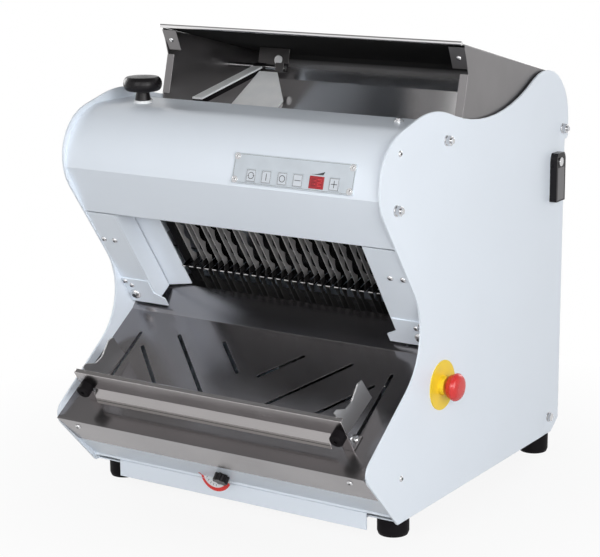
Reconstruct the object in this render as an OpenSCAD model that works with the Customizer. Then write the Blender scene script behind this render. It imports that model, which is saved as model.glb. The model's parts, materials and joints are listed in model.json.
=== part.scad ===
// Countertop bread slicer with an inclined outfeed tray and a hinged loading lid.
// +X is the operator's right, the operator stands at -Y, +Z is up. Millimetres.

/* [Body] */
// Clear width between the two side panels
inner_width = 554; // [540:1:570]
// Depth of a side panel; every place in the side view is a share of it
body_depth = 640; // [630:1:650]
// Thickness of the side panels
panel_sheet = 3; // [2.5:0.1:3.2]
// Thickness of the painted covers
cover_sheet = 2; // [1.6:0.1:2.2]
// Thickness of the stainless sheets
steel_sheet = 1.5; // [1.2:0.1:1.6]
// Diameter of a rubber foot
foot_d = 48; // [40:1:50]
// Height of a rubber foot
foot_h = 30; // [28:0.5:31]

/* [Blades] */
// Number of blades, shared out between the two frames
blade_count = 24; // [20:2:24]
// Distance from blade to blade, which is the slice thickness
slice_pitch = 15; // [13:0.5:15]
// Width of a blade
blade_width = 12; // [10:0.5:12]
// Thickness of a blade
blade_thick = 0.8; // [0.6:0.1:1.2]
// Length of one scallop of the cutting edge
scallop_pitch = 30; // [20:1:32]
// Depth of a scallop
scallop_depth = 6; // [3:0.5:7]
// Half of the travel of a blade frame
half_stroke = 12; // [8:0.5:12]
// Diameter of the rods that guide the frames
guide_d = 10; // [8:0.5:11]

/* [Tray and stop] */
// Width of the slots in the tray
slot_width = 6; // [5:0.5:8]
// Travel of the loaf stop along the tray
stop_travel = 100; // [60:5:100]
// Diameter of the rubber bumpers on the loaf stop
bumper_d = 22; // [16:1:24]

/* [Controls] */
// Width of the control plate on the hood
plate_width = 203; // [196:1:206]
// Height of the control plate
plate_height = 44; // [42:1:46]
// Width of a key
key_width = 16; // [14:0.5:18]
// Height of a key
key_height = 18; // [15:0.5:19]
// Travel of a key
key_travel = 0.5; // [0.3:0.1:0.6]
// Diameter of the emergency stop's back plate
stop_plate_d = 75; // [60:1:90]
// Diameter of the emergency stop's mushroom
mushroom_d = 42; // [36:1:46]
// How far the mushroom stands off the side panel
mushroom_reach = 33; // [31:1:35]
// Travel of the mushroom
mushroom_travel = 5; // [3:0.5:5]
// Diameter of the black knob on the hood
hood_knob_d = 60; // [40:1:62]
// Diameter of the dial knob on the kick panel
dial_knob_d = 24; // [20:1:26]

/* [Fasteners and fits] */
// Diameter of the tie rods and hinge bolts
tie_d = 8; // [6:0.5:9]
// Diameter of a cover screw's head
screw_head_d = 9.5; // [8:0.5:10]
// Radial play between a turning or sliding piece and its bearing
running_play = 0.08; // [0.05:0.01:0.1]
// Gap left round pieces that move past each other
moving_gap = 0.5; // [0.3:0.05:0.8]

/* [Hidden] */
$fn = 64;
half_in = inner_width / 2;
half_out = half_in + panel_sheet;

// Side view: every point is [y, z] with the rear edge at y = 0
tray_slope = 34;
exit_lift = 14;
floor_slope = 17.5;
rim_at = body_depth * [-0.981, 0.195];
front_tie_at = body_depth * [-0.851, 0.772];
top_tie_at = body_depth * [-0.626, 0.894];
hinge_at = body_depth * [-0.015, 0.84];
hood_axis_at = body_depth * [-0.773, 0.8];
hood_r = 0.139 * body_depth;
hood_back_y = -0.644 * body_depth;
hood_low_at = body_depth * [-0.845, 0.683];
lid_rim_at = body_depth * [-0.536, 1.102];
lid_tilt = 13.8;
comb_at = body_depth * [-0.658, 0.528];
kick_top_at = body_depth * [-0.903, 0.122];
kick_low_at = body_depth * [-0.838, 0.066];
hump_back_y = 0.019 * body_depth;

// Corners of the side panel as shares of its depth, with the radius that rounds each one
panel_corner_shares = [
    [-0.041, foot_h / body_depth, 0],
    [-0.838, foot_h / body_depth, 0.006],
    [-0.991, 0.205, 0.034],
    [-0.677, 0.44, 0.156],
    [-1.0, 0.896, 0.122],
    [-0.687, 0.976, 0.258],
    [-0.376, 0.879, 0.53],
    [0.019, 1.085, 0.136],
    [0.019, 0.811, 0.012],
    [0, 0.811, 0.002],
    [0, 0.075, 0]
];
arc_steps = 10;
panel_outline = rounded(panel_corner_shares);

// Places on the tray slope: s runs up the tray from its rim, t stands square to it
tray_len = 0.369 * body_depth;
exit_len = 0.089 * body_depth;
throat_s = 0.386 * body_depth;
throat_top_t = 0.323 * body_depth;
throat_low_t = 0.028 * body_depth;
wall_s = 0.458 * body_depth;
wall_back_s = 0.442 * body_depth;
throat_half = 0.33 * inner_width;
mouth_half = 0.403 * inner_width;

// Blade frames
front_bar_s = 0.463 * body_depth;
bar_deep = 12;
bar_tall = 18;
rear_bar_s = front_bar_s + bar_deep + blade_width + 0.35 * blade_width;
blade_low_t = -0.047 * body_depth;
blade_high_t = 0.438 * body_depth;
bar_half = 0.451 * inner_width;
post_x = 0.37 * inner_width;
post_wide = 12;
guide_x = 0.433 * inner_width;
guide_r = guide_d / 2;
guide_low_t = -0.128 * body_depth;
guide_high_t = 0.475 * body_depth;
guide_block_t = 8;
front_guide_s = front_bar_s + bar_deep / 2;
rear_guide_s = rear_bar_s + bar_deep / 2;
blade_x = [for (i = [0 : blade_count - 1]) (i - (blade_count - 1) / 2) * slice_pitch];

// Drive
crank_s = (front_guide_s + rear_guide_s) / 2;
crank_t = -0.258 * body_depth;
up_slope = [cos(tray_slope), sin(tray_slope)];
off_slope = [-sin(tray_slope), cos(tray_slope)];
crank_at = rim_at + crank_s * up_slope + crank_t * off_slope;
motor_at = [-0.172 * body_depth, crank_at[1]];
shaft_r = 10;
crank_x = 0.213 * inner_width;
disc_thick = 12;
disc_r = 2.2 * half_stroke;
pin_r = 6;
rod_gap = 10;
rod_x0 = crank_x + disc_thick + rod_gap;
rod_thick = 10;
pulley_r = 75;
small_pulley_r = 30;
pulley_half = 10;
groove_deep = 4;
belt_half = 7;
belt_thick = 3.5;
motor_r = 58;
motor_x0 = 0.055 * inner_width;
motor_x1 = 0.39 * inner_width;
motor_shaft_r = 8;
bearing_x0 = 0.11 * inner_width;
bearing_x1 = 0.155 * inner_width;

// Lid, hopper and pusher
lid_gap = 0.006 * inner_width;
lid_half = half_in - lid_gap;
lid_in = lid_half - steel_sheet;
lid_len = 0.452 * body_depth;
down_lid = [cos(lid_tilt), -sin(lid_tilt)];
off_lid = [sin(lid_tilt), cos(lid_tilt)];
lid_back_at = lid_rim_at + lid_len * down_lid;
rim_r = 3;
floor_len = 0.622 * body_depth;
comb_s = (comb_at - rim_at) * up_slope;
comb_slot_len = (rear_bar_s - comb_s) / cos(tray_slope - floor_slope) + 2 * moving_gap;
comb_len = comb_slot_len + 1.5 * bar_deep;
comb_slot_w = 0.27 * slice_pitch;
pusher_y = 0.316 * body_depth;
pusher_z = -0.053 * body_depth;
pusher_r = 4;
pusher_at = lid_rim_at + pusher_y * down_lid + pusher_z * off_lid;
arm_tilt = 10.4;
arm_len = 0.289 * body_depth;
arm_x0 = -0.393 * inner_width;
arm_x1 = -0.357 * inner_width;

// Controls
plate_angle = 17.3;
plate_x = 0.24 * inner_width;
plate_thick = 2 * cover_sheet;
key_row_y = -0.21 * plate_height;
key_deep = 1.1 * cover_sheet;
key_proud = 0.3 * cover_sheet;
key_shares = [-0.34, -0.212, -0.079, 0.049, 0.345];
display_share = 0.202;
display_w = 1.5 * key_width;
hood_knob_at = [-0.386 * inner_width, -0.734 * body_depth];
collar_h = 4;
knob_stem_r = 0.2 * hood_knob_d;
kick_angle = atan2(kick_top_at[1] - kick_low_at[1], kick_top_at[0] - kick_low_at[0]);
dial_x = -0.031 * inner_width;
dial_shaft_r = 0.115 * dial_knob_d;
stop_button_at = body_depth * [-0.636, 0.325];
barrel_r = 11;
stem_r = 8;
collar_reach = 0.29 * mushroom_reach;
mushroom_back = collar_reach + mushroom_travel + 2 * moving_gap;

// Fasteners
tie_r = tie_d / 2;
hole_play = 0.025 * tie_d;
washer_t = 0.25 * tie_d;
nut_t = 0.81 * tie_d;
tie_end = half_out + washer_t + nut_t + 0.4 * tie_d;
screw_r = 0.25 * screw_head_d;
side_screw_shares = [[-0.835, 0.894], [-0.824, 0.153], [-0.058, 0.091]];
side_screws = body_depth * side_screw_shares;

// Base and drawer
base_front_y = -0.825 * body_depth;
base_back_y = -0.044 * body_depth;
base_rear_at = body_depth * [-0.005, 0.075];
rear_low_z = 0.078 * body_depth;
rear_top_z = 0.789 * body_depth;
rear_flange_y = -0.097 * body_depth;
rear_flange_top_z = 0.66 * body_depth;
crumb_half = 0.325 * inner_width;
crumb_front_y = -0.759 * body_depth;
crumb_back_y = -0.466 * body_depth;
base_top_z = foot_h + cover_sheet;
front_foot = [0.451 * inner_width, -0.777 * body_depth];
rear_foot = [0.466 * inner_width, -0.072 * body_depth];
drawer_half = 0.411 * inner_width;
drawer_box_half = 0.36 * inner_width;
drawer_front_y = -0.839 * body_depth;
drawer_back_y = -0.188 * body_depth;
drawer_low_z = 0.4 * foot_h;
drawer_top_z = 0.9 * kick_low_at[1];
dial_h = dial_knob_d / 2;
dial_drop = dial_h + moving_gap;
dial_low_z = drawer_top_z + 2 * moving_gap - kick_low_at[1];
dial_up = (dial_low_z - dial_drop * cos(kick_angle)) / sin(kick_angle) + dial_knob_d / 2;
rail_foot_z = 0.47 * foot_h;

// The part's origin is the middle of its footprint on the counter
mid_x = (mushroom_reach + half_out - tie_end) / 2;
mid_y = (rim_at[0] + hump_back_y) / 2;

function unit(v) = v / norm(v);
function corner_arc(a, b, c, r) =
    let (
        u = unit(a - b),
        v = unit(c - b),
        half = acos(u * v) / 2,
        centre = r == 0 ? b : b + unit(u + v) * r / sin(half),
        first = b + u * r / tan(half) - centre,
        last = b + v * r / tan(half) - centre,
        from = r == 0 ? 0 : atan2(first[1], first[0]),
        turn = r == 0 ? 0 : (atan2(last[1], last[0]) - from + 540) % 360 - 180
    )
    r == 0 ? [b] : [for (k = [0 : arc_steps])
        centre + r * [cos(from + turn * k / arc_steps), sin(from + turn * k / arc_steps)]];
function flat(p) = [p[0], p[1]];
function rounded(p) = let (n = len(p)) [
    for (i = [0 : n - 1])
        for (q = corner_arc(flat(p[(i + n - 1) % n]), flat(p[i]), flat(p[(i + 1) % n]), p[i][2]))
            body_depth * q
];

// The outline of a bent sheet: its outer line, and the same line moved to the left by the sheet's thickness
function left_of(a, b) = let (d = unit(b - a)) [-d[1], d[0]];
function mitre(p, k) =
    k == 0 ? left_of(p[0], p[1]) :
    k == len(p) - 1 ? left_of(p[k - 1], p[k]) :
    let (a = left_of(p[k - 1], p[k]), b = left_of(p[k], p[k + 1])) (a + b) / (1 + a * b);
function strip(p, thick) = concat(p, [for (k = [len(p) - 1 : -1 : 0]) p[k] + thick * mitre(p, k)]);

// Frames of reference and basic shapes
module place() translate([-mid_x, -mid_y, 0]) children();
module on_slope() translate([0, rim_at[0], rim_at[1]]) rotate([tray_slope, 0, 0]) children();
module on_floor() translate([0, comb_at[0], comb_at[1]]) rotate([floor_slope, 0, 0]) children();
module on_lid() translate([0, lid_rim_at[0], lid_rim_at[1]]) rotate([-lid_tilt, 0, 0]) children();
module on_arm() translate([0, pusher_at[0], pusher_at[1]]) rotate([arm_tilt, 0, 0]) children();
module on_plate() translate([plate_x, hood_axis_at[0], hood_axis_at[1]])
    rotate([90 - plate_angle, 0, 0]) translate([0, 0, hood_r + 0.2 * cover_sheet]) children();
module on_kick() translate([0, kick_low_at[0], kick_low_at[1]]) rotate([kick_angle, 0, 0]) children();
module on_right(at) translate([half_out, at[0], at[1]]) rotate([0, 90, 0]) children();
module both_sides() {
    children();
    mirror([1, 0, 0]) children();
}
module box(lo, hi) translate(lo) cube(hi - lo);
module rod_x(at, x0, x1, r) translate([x0, at[0], at[1]]) rotate([0, 90, 0]) cylinder(h = x1 - x0, r = r);
module sheet_x(x0, x1, points) translate([x0, 0, 0]) rotate([90, 0, 90])
    linear_extrude(x1 - x0) polygon(points);
module fold(p, q, thick, x0, x1) translate([x0, p[0], p[1]])
    rotate([atan2(q[1] - p[1], q[0] - p[0]), 0, 0]) cube([x1 - x0, norm(q - p), thick]);
module slot(p, q, wide, deep) {
    translate([p[0], p[1], -deep]) rotate(atan2(q[1] - p[1], q[0] - p[0]))
        translate([0, -wide / 2, 0]) cube([norm(q - p), wide, 2 * deep]);
    for (e = [p, q]) translate([e[0], e[1], -deep]) cylinder(h = 2 * deep, d = wide);
}
// A round screw head on z = 0, and a whole screw whose shank goes down from there
module dome(head_d) rotate_extrude() polygon(concat(
    [[0, 0]],
    [for (a = [0 : 15 : 90]) [head_d / 2 * cos(a), 0.28 * head_d * sin(a)]]
));
module dome_screw(head_d, shank) {
    dome(head_d);
    translate([0, 0, -shank]) cylinder(h = shank, r = head_d / 4);
}

// Casing
module panel_blank() difference() {
    sheet_x(half_in, half_out, panel_outline);
    for (at = [front_tie_at, top_tie_at, hinge_at])
        rod_x(at, half_in - panel_sheet, half_out + panel_sheet, tie_r + hole_play);
    for (at = side_screws) rod_x(at, half_in - panel_sheet, half_out + panel_sheet, screw_r + hole_play);
}
module side_panel_left() color("whitesmoke") place() mirror([1, 0, 0]) panel_blank();
module side_panel_right() color("whitesmoke") place() difference() {
    panel_blank();
    rod_x(stop_button_at, half_in - panel_sheet, half_out + panel_sheet, barrel_r + hole_play);
}
module base_plate() color("gainsboro") place() {
    difference() {
        sheet_x(-half_in, half_in,
            strip([[base_front_y, foot_h], [base_back_y, foot_h], base_rear_at], cover_sheet));
        box([-crumb_half, crumb_front_y, 0], [crumb_half, crumb_back_y, 2 * foot_h]);
    }
    drawer_rails();
}
module rear_cover() color("whitesmoke") place() difference() {
    union() {
        box([-half_in, -cover_sheet, rear_low_z], [half_in, 0, rear_top_z]);
        both_sides() box([half_in - cover_sheet, rear_flange_y, rear_low_z + 2 * cover_sheet],
            [half_in, 0, rear_flange_top_z]);
    }
    both_sides() rod_x(side_screws[2], half_in - panel_sheet, half_out, screw_r + hole_play);
}
module hood_shell() {
    hood_top = hood_axis_at[1] + hood_r;
    hood_front = [hood_axis_at[0] - hood_r, hood_axis_at[1]];
    box([-half_in, hood_axis_at[0], hood_top - cover_sheet], [half_in, hood_back_y, hood_top]);
    intersection() {
        difference() {
            rod_x(hood_axis_at, -half_in, half_in, hood_r);
            rod_x(hood_axis_at, cover_sheet - half_in, half_in - cover_sheet, hood_r - cover_sheet);
            rod_x(hood_axis_at, -half_out, half_out, 0.76 * hood_r);
        }
        box([-half_in, hood_front[0], hood_front[1]], [half_in, hood_axis_at[0], hood_top]);
    }
    sheet_x(-half_in, half_in, [
        hood_front,
        hood_low_at,
        hood_low_at + cover_sheet * left_of(hood_front, hood_low_at),
        hood_front + [cover_sheet, 0]
    ]);
}
module hood() color("whitesmoke") place() difference() {
    hood_shell();
    on_plate() box([-plate_width / 2, -plate_height / 2, -4 * plate_thick],
        [plate_width / 2, plate_height / 2, plate_thick]);
    on_hood() cylinder(h = 2 * knob_rise, r = 0.5 * knob_stem_r + moving_gap, center = true);
    both_sides() translate(hood_screw_at) translate([0, 0, -hood_r / 2])
        cylinder(h = hood_r, r = screw_r + hole_play);
    both_sides() rod_x(side_screws[0], half_in - panel_sheet, half_out, screw_r + hole_play);
}
hood_screw_at = [0.406 * inner_width, -0.691 * body_depth, hood_axis_at[1] + hood_r];
kick_start_at = kick_top_at + moving_gap * unit(kick_low_at - kick_top_at);
kick_lip_at = [kick_low_at[0], drawer_top_z + moving_gap];
kick_flange_shares = [[-0.789, 0.066], [-0.789, 0.175], [-0.852, 0.175]];
module kick_panel() color("gainsboro") place() difference() {
    union() {
        sheet_x(-half_in, half_in, strip([kick_start_at, kick_low_at, kick_lip_at], cover_sheet));
        both_sides() sheet_x(half_in - cover_sheet, half_in,
            concat([kick_start_at, kick_low_at], body_depth * kick_flange_shares));
    }
    both_sides() rod_x(side_screws[1], half_in - panel_sheet, half_out, screw_r + hole_play);
    on_kick() translate([dial_x, dial_up, 0])
        cylinder(h = dial_knob_d, r = dial_shaft_r + hole_play, center = true);
}
module foot() difference() {
    union() {
        cylinder(h = foot_h / 6, r1 = 0.46 * foot_d, r2 = 0.5 * foot_d);
        translate([0, 0, foot_h / 6]) cylinder(h = 5 * foot_h / 6, d = foot_d);
    }
    cylinder(h = foot_h / 3, d = 0.3 * foot_d);
}
module feet() color("dimgray") place() both_sides() for (at = [front_foot, rear_foot]) translate(at) foot();
module tie_rods() color("silver") place()
    for (at = [front_tie_at, top_tie_at]) rod_x(at, -tie_end, tie_end, tie_r);
module hinge_bolts() color("silver") place() both_sides() {
    rod_x(hinge_at, lid_in - tie_d / 2, tie_end, tie_r);
    rod_x(hinge_at, lid_in - tie_d, lid_in - moving_gap, 0.9 * tie_d);
    rod_x(hinge_at, lid_half + moving_gap, half_in, 0.9 * tie_d);
}
module tie_nut() difference() {
    union() {
        cylinder(h = washer_t, r = tie_d);
        translate([0, 0, washer_t]) cylinder(h = nut_t, r = 0.94 * tie_d, $fn = 6);
    }
    cylinder(h = 4 * tie_d, r = tie_r + hole_play, center = true);
}
module tie_nuts() color("silver") place() both_sides()
    for (at = [front_tie_at, top_tie_at, hinge_at]) on_right(at) tie_nut();

// Outlet: throat plates, inner walls and brackets beside the blades
module throat_blank() on_slope() difference() {
    union() {
        box([mouth_half, throat_s, throat_low_t], [half_in, throat_s + cover_sheet, throat_top_t]);
        box([mouth_half - cover_sheet, throat_s, throat_low_t], [mouth_half, throat_return_s, throat_top_t]);
        box([half_in - cover_sheet, throat_s, throat_low_t], [half_in, throat_return_s, throat_top_t]);
    }
    for (at = concat(throat_screws, bracket_screws)) on_throat(at) screw_hole(screw_head_d);
    on_throat(hook_stud_at) screw_hole(hook_stud_d);
}
module screw_hole(head_d) cylinder(h = 2 * head_d, r = 0.25 * head_d + hole_play, center = true);
throat_return_s = 0.439 * body_depth;
throat_screws = [[0.487 * inner_width, 0.233 * body_depth], [0.449 * inner_width, 0.233 * body_depth]];
bracket_screws = [[0.489 * inner_width, 0.087 * body_depth], [0.471 * inner_width, 0.075 * body_depth]];
hook_stud_d = 19;
hook_stud_at = [0.473 * inner_width, 0.044 * body_depth];
module on_throat(at) translate([at[0], throat_s, at[1]]) rotate([90, 0, 0]) children();
module throat_plates() color("white") place() both_sides() throat_blank();
module inner_walls() color("gainsboro") place() both_sides() on_slope() translate([0, 0, throat_low_t])
    linear_extrude(throat_top_t - throat_low_t) polygon([
        [half_in, wall_back_s],
        [mouth_half - cover_sheet, wall_back_s],
        [throat_half, wall_s - cover_sheet],
        [throat_half, wall_s],
        [mouth_half - cover_sheet, wall_back_s + cover_sheet],
        [half_in, wall_back_s + cover_sheet]
    ]);
bracket_x0 = 0.37 * inner_width;
bracket_low_t = 0.016 * body_depth;
bracket_top_t = 0.097 * body_depth;
module hook_brackets() color("darkgray") place() both_sides() on_slope() difference() {
    translate([0, throat_s, 0]) rotate([90, 0, 0]) linear_extrude(cover_sheet) polygon([
        [bracket_x0, bracket_low_t],
        [half_in, bracket_low_t],
        [half_in, bracket_top_t],
        [mouth_half, bracket_top_t],
        [mouth_half, (bracket_low_t + bracket_top_t) / 2],
        [bracket_x0, 0.7 * bracket_low_t + 0.3 * bracket_top_t]
    ]);
    for (at = bracket_screws) on_throat(at) screw_hole(screw_head_d);
    on_throat(hook_stud_at) screw_hole(hook_stud_d);
}

// Outfeed tray and exit plate
slot_shares = [
    [[0.455, 0.322], [0.765, 0.695]],
    [[0.144, 0.331], [0.574, 0.835]],
    [[0.072, 0.621], [0.264, 0.837]]
];
function tray_point(shares) = [shares[0] * half_in, shares[1] * tray_len];
tray_screw_at = [0.445 * inner_width, 0.03 * body_depth];
module on_front() translate([0, rim_at[0], rim_at[1]])
    rotate([180 + atan2(kick_top_at[1] - rim_at[1], kick_top_at[0] - rim_at[0]), 0, 0]) children();
module tray() color("silver") place() difference() {
    sheet_x(-half_in, half_in, strip([rim_at + tray_len * up_slope, rim_at, kick_top_at], steel_sheet));
    on_slope() both_sides() for (e = slot_shares)
        slot(tray_point(e[0]), tray_point(e[1]), slot_width, 2 * steel_sheet);
    on_slope() both_sides()
        slot(stud_at, stud_at + [0, stop_travel + 4 * slot_width], slot_width, 2 * steel_sheet);
    both_sides() on_front() translate([tray_screw_at[0], -tray_screw_at[1], 0]) screw_hole(screw_head_d);
}
module exit_plate() color("lightsteelblue") place() on_slope() translate([0, tray_len, 0])
    rotate([exit_lift, 0, 0]) box([-half_in, 0, -steel_sheet], [half_in, exit_len, 0]);

// Loaf stop that slides up the tray in its two guide slots
stop_s = 0.07 * body_depth;
stop_half = 0.433 * inner_width;
stop_top_t = 65;
stop_face = 32;
stop_flange = 6;
stop_shelf = 9;
stop_shelf_drop = 11;
stop_lip = 2;
stop_lip_drop = 10;
stop_low_half = 0.383 * inner_width;
stop_low_t = stop_top_t - stop_face;
stop_top_line = [
    [stop_s + steel_sheet + stop_flange, stop_top_t],
    [stop_s, stop_top_t],
    [stop_s, stop_low_t]
];
stop_shelf_line = [
    [stop_s - stop_shelf, stop_low_t - stop_shelf_drop],
    [stop_s - stop_shelf - stop_lip, stop_low_t - stop_shelf_drop - stop_lip_drop]
];
stop_glide = 0.6 * moving_gap;
foot_plate_len = 28;
foot_plate_wide = 18;
finger_x = 0.406 * inner_width;
finger_len = 90;
finger_shares = [
    [0, 0.222], [0.228, 0.178], [1.006, 0.111], [0.95, 0.589], [0.839, 0.633],
    [0.539, 0.533], [0.361, 0.567], [0.172, 0.767]
];
finger_back = stop_flange + 4 * moving_gap;
finger_outline = concat(finger_len * finger_shares, [
    [finger_back, 0.78 * finger_len],
    [finger_back, stop_top_t - 2 * steel_sheet],
    [0, stop_top_t - 2 * steel_sheet]
]);
stud_at = [0.417 * inner_width, stop_s + 0.75 * foot_plate_len];
stud_r = slot_width / 2 - 0.8 * moving_gap;
bumper_at = [0.412 * inner_width, 35];
bumper_len = 15;
module stop_bar() color("lightgray") place() on_slope() difference() {
    union() {
        sheet_x(-stop_low_half, stop_low_half, strip(concat(stop_top_line, stop_shelf_line), steel_sheet));
        both_sides() sheet_x(stop_low_half, stop_half, strip(stop_top_line, steel_sheet));
        both_sides() box([stop_half - foot_plate_wide, stop_s, stop_glide],
            [stop_half, stop_s + steel_sheet, stop_low_t]);
        both_sides() box([stop_half - foot_plate_wide, stop_s, stop_glide],
            [stop_half, stop_s + foot_plate_len, stop_glide + cover_sheet]);
    }
    both_sides() translate(stud_at) cylinder(h = finger_len, r = stud_r + hole_play, center = true);
}
module stop_fingers() color("silver") place() on_slope() both_sides()
    translate([0, stop_s + steel_sheet, 0])
        sheet_x(finger_x, finger_x + cover_sheet, finger_outline);
module stop_bumpers() color("black") place() on_slope() both_sides()
    translate([bumper_at[0], stop_s, bumper_at[1]]) rotate([90, 0, 0]) rotate_extrude() polygon([
        [0, 0],
        [bumper_d / 2, 0],
        [bumper_d / 2, 0.85 * bumper_len],
        [0.85 * bumper_d / 2, bumper_len],
        [0.3 * bumper_d / 2, bumper_len],
        [0.3 * bumper_d / 2, 0.8 * bumper_len],
        [0, 0.8 * bumper_len]
    ]);
module stop_nuts() color("silver") place() on_slope() both_sides() translate([stud_at[0], stud_at[1], 0]) {
    translate([0, 0, stop_glide + cover_sheet]) dome(2.2 * slot_width);
    translate([0, 0, -steel_sheet - 3 * stop_glide])
        cylinder(h = steel_sheet + 4 * stop_glide + cover_sheet, r = stud_r);
    translate([0, 0, -2 * steel_sheet - stop_glide]) cylinder(h = steel_sheet, r = slot_width);
}

// Hopper
hopper_wall = 43;
hopper_wall_lean = 62;
wall_top = [floor_len, 0] + hopper_wall * [cos(hopper_wall_lean), sin(hopper_wall_lean)];
guide_len = 0.156 * body_depth;
guide_tall = 0.172 * body_depth;
module infeed_guides() both_sides()
    box([throat_half, comb_len, 0], [throat_half + steel_sheet, comb_len + guide_len, guide_tall]);
module loaf_floor() color("silver") place() on_floor() {
    difference() {
        box([-throat_half, 0, -steel_sheet], [throat_half, comb_len, 0]);
        for (x = blade_x) box([x - comb_slot_w / 2, -comb_slot_len, -throat_half],
            [x + comb_slot_w / 2, comb_slot_len, throat_half]);
    }
    sheet_x(-half_in, half_in, strip([wall_top, [floor_len, 0], [comb_len, 0]], steel_sheet));
    infeed_guides();
}

// Blade frames, blades, guides and connecting rods
module blade_frame(bar_s) on_slope() difference() {
    union() {
        for (t = [blade_low_t, blade_high_t - bar_tall])
            box([-bar_half, bar_s, t], [bar_half, bar_s + bar_deep, t + bar_tall]);
        both_sides() box([post_x - post_wide / 2, bar_s + bar_deep / 8, blade_low_t + bar_tall],
            [post_x + post_wide / 2, bar_s + 7 * bar_deep / 8, blade_high_t - bar_tall]);
    }
    both_sides() translate([guide_x, bar_s + bar_deep / 2, 2 * guide_low_t])
        cylinder(h = 2 * guide_high_t, r = guide_r + running_play);
}
// One blade at x = 0 whose toothed rear edge is at s = 0
edge_high_t = 0.391 * body_depth;
scallop_count = floor(edge_high_t / scallop_pitch);
module blade() sheet_x(-blade_thick / 2, blade_thick / 2, concat(
    [[-blade_width, blade_low_t], [0, blade_low_t]],
    [for (k = [0 : scallop_count - 1], a = [0 : 0.25 : 0.75])
        [-scallop_depth * sin(180 * a), (k + a) * scallop_pitch]],
    [[0, scallop_count * scallop_pitch], [0, blade_high_t], [-blade_width, blade_high_t]]
));
module blade_row(first, edge_s) on_slope() for (i = [first : 2 : blade_count - 1])
    translate([blade_x[i], edge_s, 0]) blade();
module frame_front() color("gray") place() blade_frame(front_bar_s);
module frame_rear() color("gray") place() blade_frame(rear_bar_s);
module blades_front() color("lightgray") place() blade_row(0, front_bar_s + bar_deep + blade_width);
module blades_rear() color("lightgray") place() blade_row(1, rear_bar_s);
module guide_rods() color("silver") place() on_slope() both_sides() for (s = [front_guide_s, rear_guide_s])
    translate([guide_x, s, guide_low_t]) cylinder(h = guide_high_t - guide_low_t, r = guide_r);
module guide_blocks() color("dimgray") place() on_slope() both_sides()
    for (t = [guide_low_t, guide_high_t - guide_block_t]) difference() {
        box([bar_half - 4 * guide_r, front_bar_s - bar_deep / 4, t],
            [half_in, rear_bar_s + 5 * bar_deep / 4, t + guide_block_t]);
        for (s = [front_guide_s, rear_guide_s]) translate([guide_x, s, 2 * guide_low_t])
            cylinder(h = 2 * guide_high_t, r = guide_r);
    }
module con_rod(s) on_slope() difference() {
    union() {
        translate([rod_x0, s, crank_t]) rotate([0, 90, 0]) cylinder(h = rod_thick, r = 2.3 * pin_r);
        box([rod_x0, s - rod_thick / 2, crank_t], [rod_x0 + rod_thick, s + rod_thick / 2, blade_low_t]);
    }
    translate([0, s, crank_t]) rotate([0, 90, 0]) cylinder(h = half_in, r = pin_r + moving_gap);
}
module con_rod_front() color("gray") place() con_rod(crank_s - half_stroke);
module con_rod_rear() color("gray") place() mirror([1, 0, 0]) con_rod(crank_s + half_stroke);

// Drive under the hopper
module crankshaft() color("silver") place() on_slope() translate([0, crank_s, crank_t]) {
    rotate([0, 90, 0]) cylinder(h = 2 * crank_x, r = shaft_r, center = true);
    both_sides() translate([crank_x, 0, 0]) rotate([0, 90, 0]) cylinder(h = disc_thick, r = disc_r);
    crank_pin(-half_stroke);
    mirror([1, 0, 0]) crank_pin(half_stroke);
}
pin_len = rod_gap - moving_gap;
module crank_pin(offset) translate([crank_x, offset, 0]) rotate([0, 90, 0])
    cylinder(h = disc_thick + pin_len, r = pin_r);
module pulley(at, r, bore_r) difference() {
    rod_x(at, -pulley_half, pulley_half, r);
    difference() {
        rod_x(at, -belt_half - moving_gap, belt_half + moving_gap, r + groove_deep);
        rod_x(at, -pulley_half, pulley_half, r - groove_deep);
    }
    rod_x(at, -2 * pulley_half, 2 * pulley_half, bore_r);
}
module crank_pulley() color("dimgray") place() pulley(crank_at, pulley_r, shaft_r + hole_play);
module motor_pulley() color("dimgray") place() {
    pulley(motor_at, small_pulley_r, motor_shaft_r + hole_play);
    rod_x(motor_at, -pulley_half, motor_x0 + motor_r / 2 - moving_gap, motor_shaft_r);
}
module motor() color("slategray") place() difference() {
    union() {
        rod_x(motor_at, motor_x0, motor_x0 + motor_r / 6, 0.8 * motor_r);
        rod_x(motor_at, motor_x0 + motor_r / 6, motor_x1 - motor_r / 2, motor_r);
        rod_x(motor_at, motor_x1 - motor_r / 2, motor_x1, 0.94 * motor_r);
        box([motor_x0 + motor_r / 2, motor_at[0] - 0.8 * motor_r, base_top_z],
            [motor_x1 - motor_r, motor_at[0] + 0.8 * motor_r, base_top_z + motor_r / 8]);
        box([motor_x0 + 0.8 * motor_r, motor_at[0] - motor_r / 2, base_top_z],
            [motor_x1 - 1.3 * motor_r, motor_at[0] + motor_r / 2, motor_at[1]]);
    }
    rod_x(motor_at, 0, motor_x0 + motor_r / 2, motor_shaft_r + running_play);
}
module bearing_blocks() color("gray") place() both_sides() difference() {
    union() {
        box([bearing_x0, crank_at[0] - 2 * shaft_r, base_top_z],
            [bearing_x1, crank_at[0] + 2 * shaft_r, crank_at[1]]);
        rod_x(crank_at, bearing_x0, bearing_x1, 2 * shaft_r);
    }
    rod_x(crank_at, 0, half_in, shaft_r + running_play);
}
belt_gap = 0.6 * moving_gap;
function arc_points(centre, r, a0, a1) = [for (k = [0 : 3 * arc_steps])
    let (a = a0 + (a1 - a0) * k / (3 * arc_steps)) centre + r * [cos(a), sin(a)]];
function belt_loop(r1, r2, d) =
    let (reach = acos((r1 - r2) / d))
    concat(
        arc_points([0, 0], r1, reach, 360 - reach),
        arc_points([d, 0], r2, -reach, reach)
    );
belt_r = pulley_r - groove_deep + belt_gap;
belt_small_r = small_pulley_r - groove_deep + belt_gap;
belt_span = motor_at[0] - crank_at[0];
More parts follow.
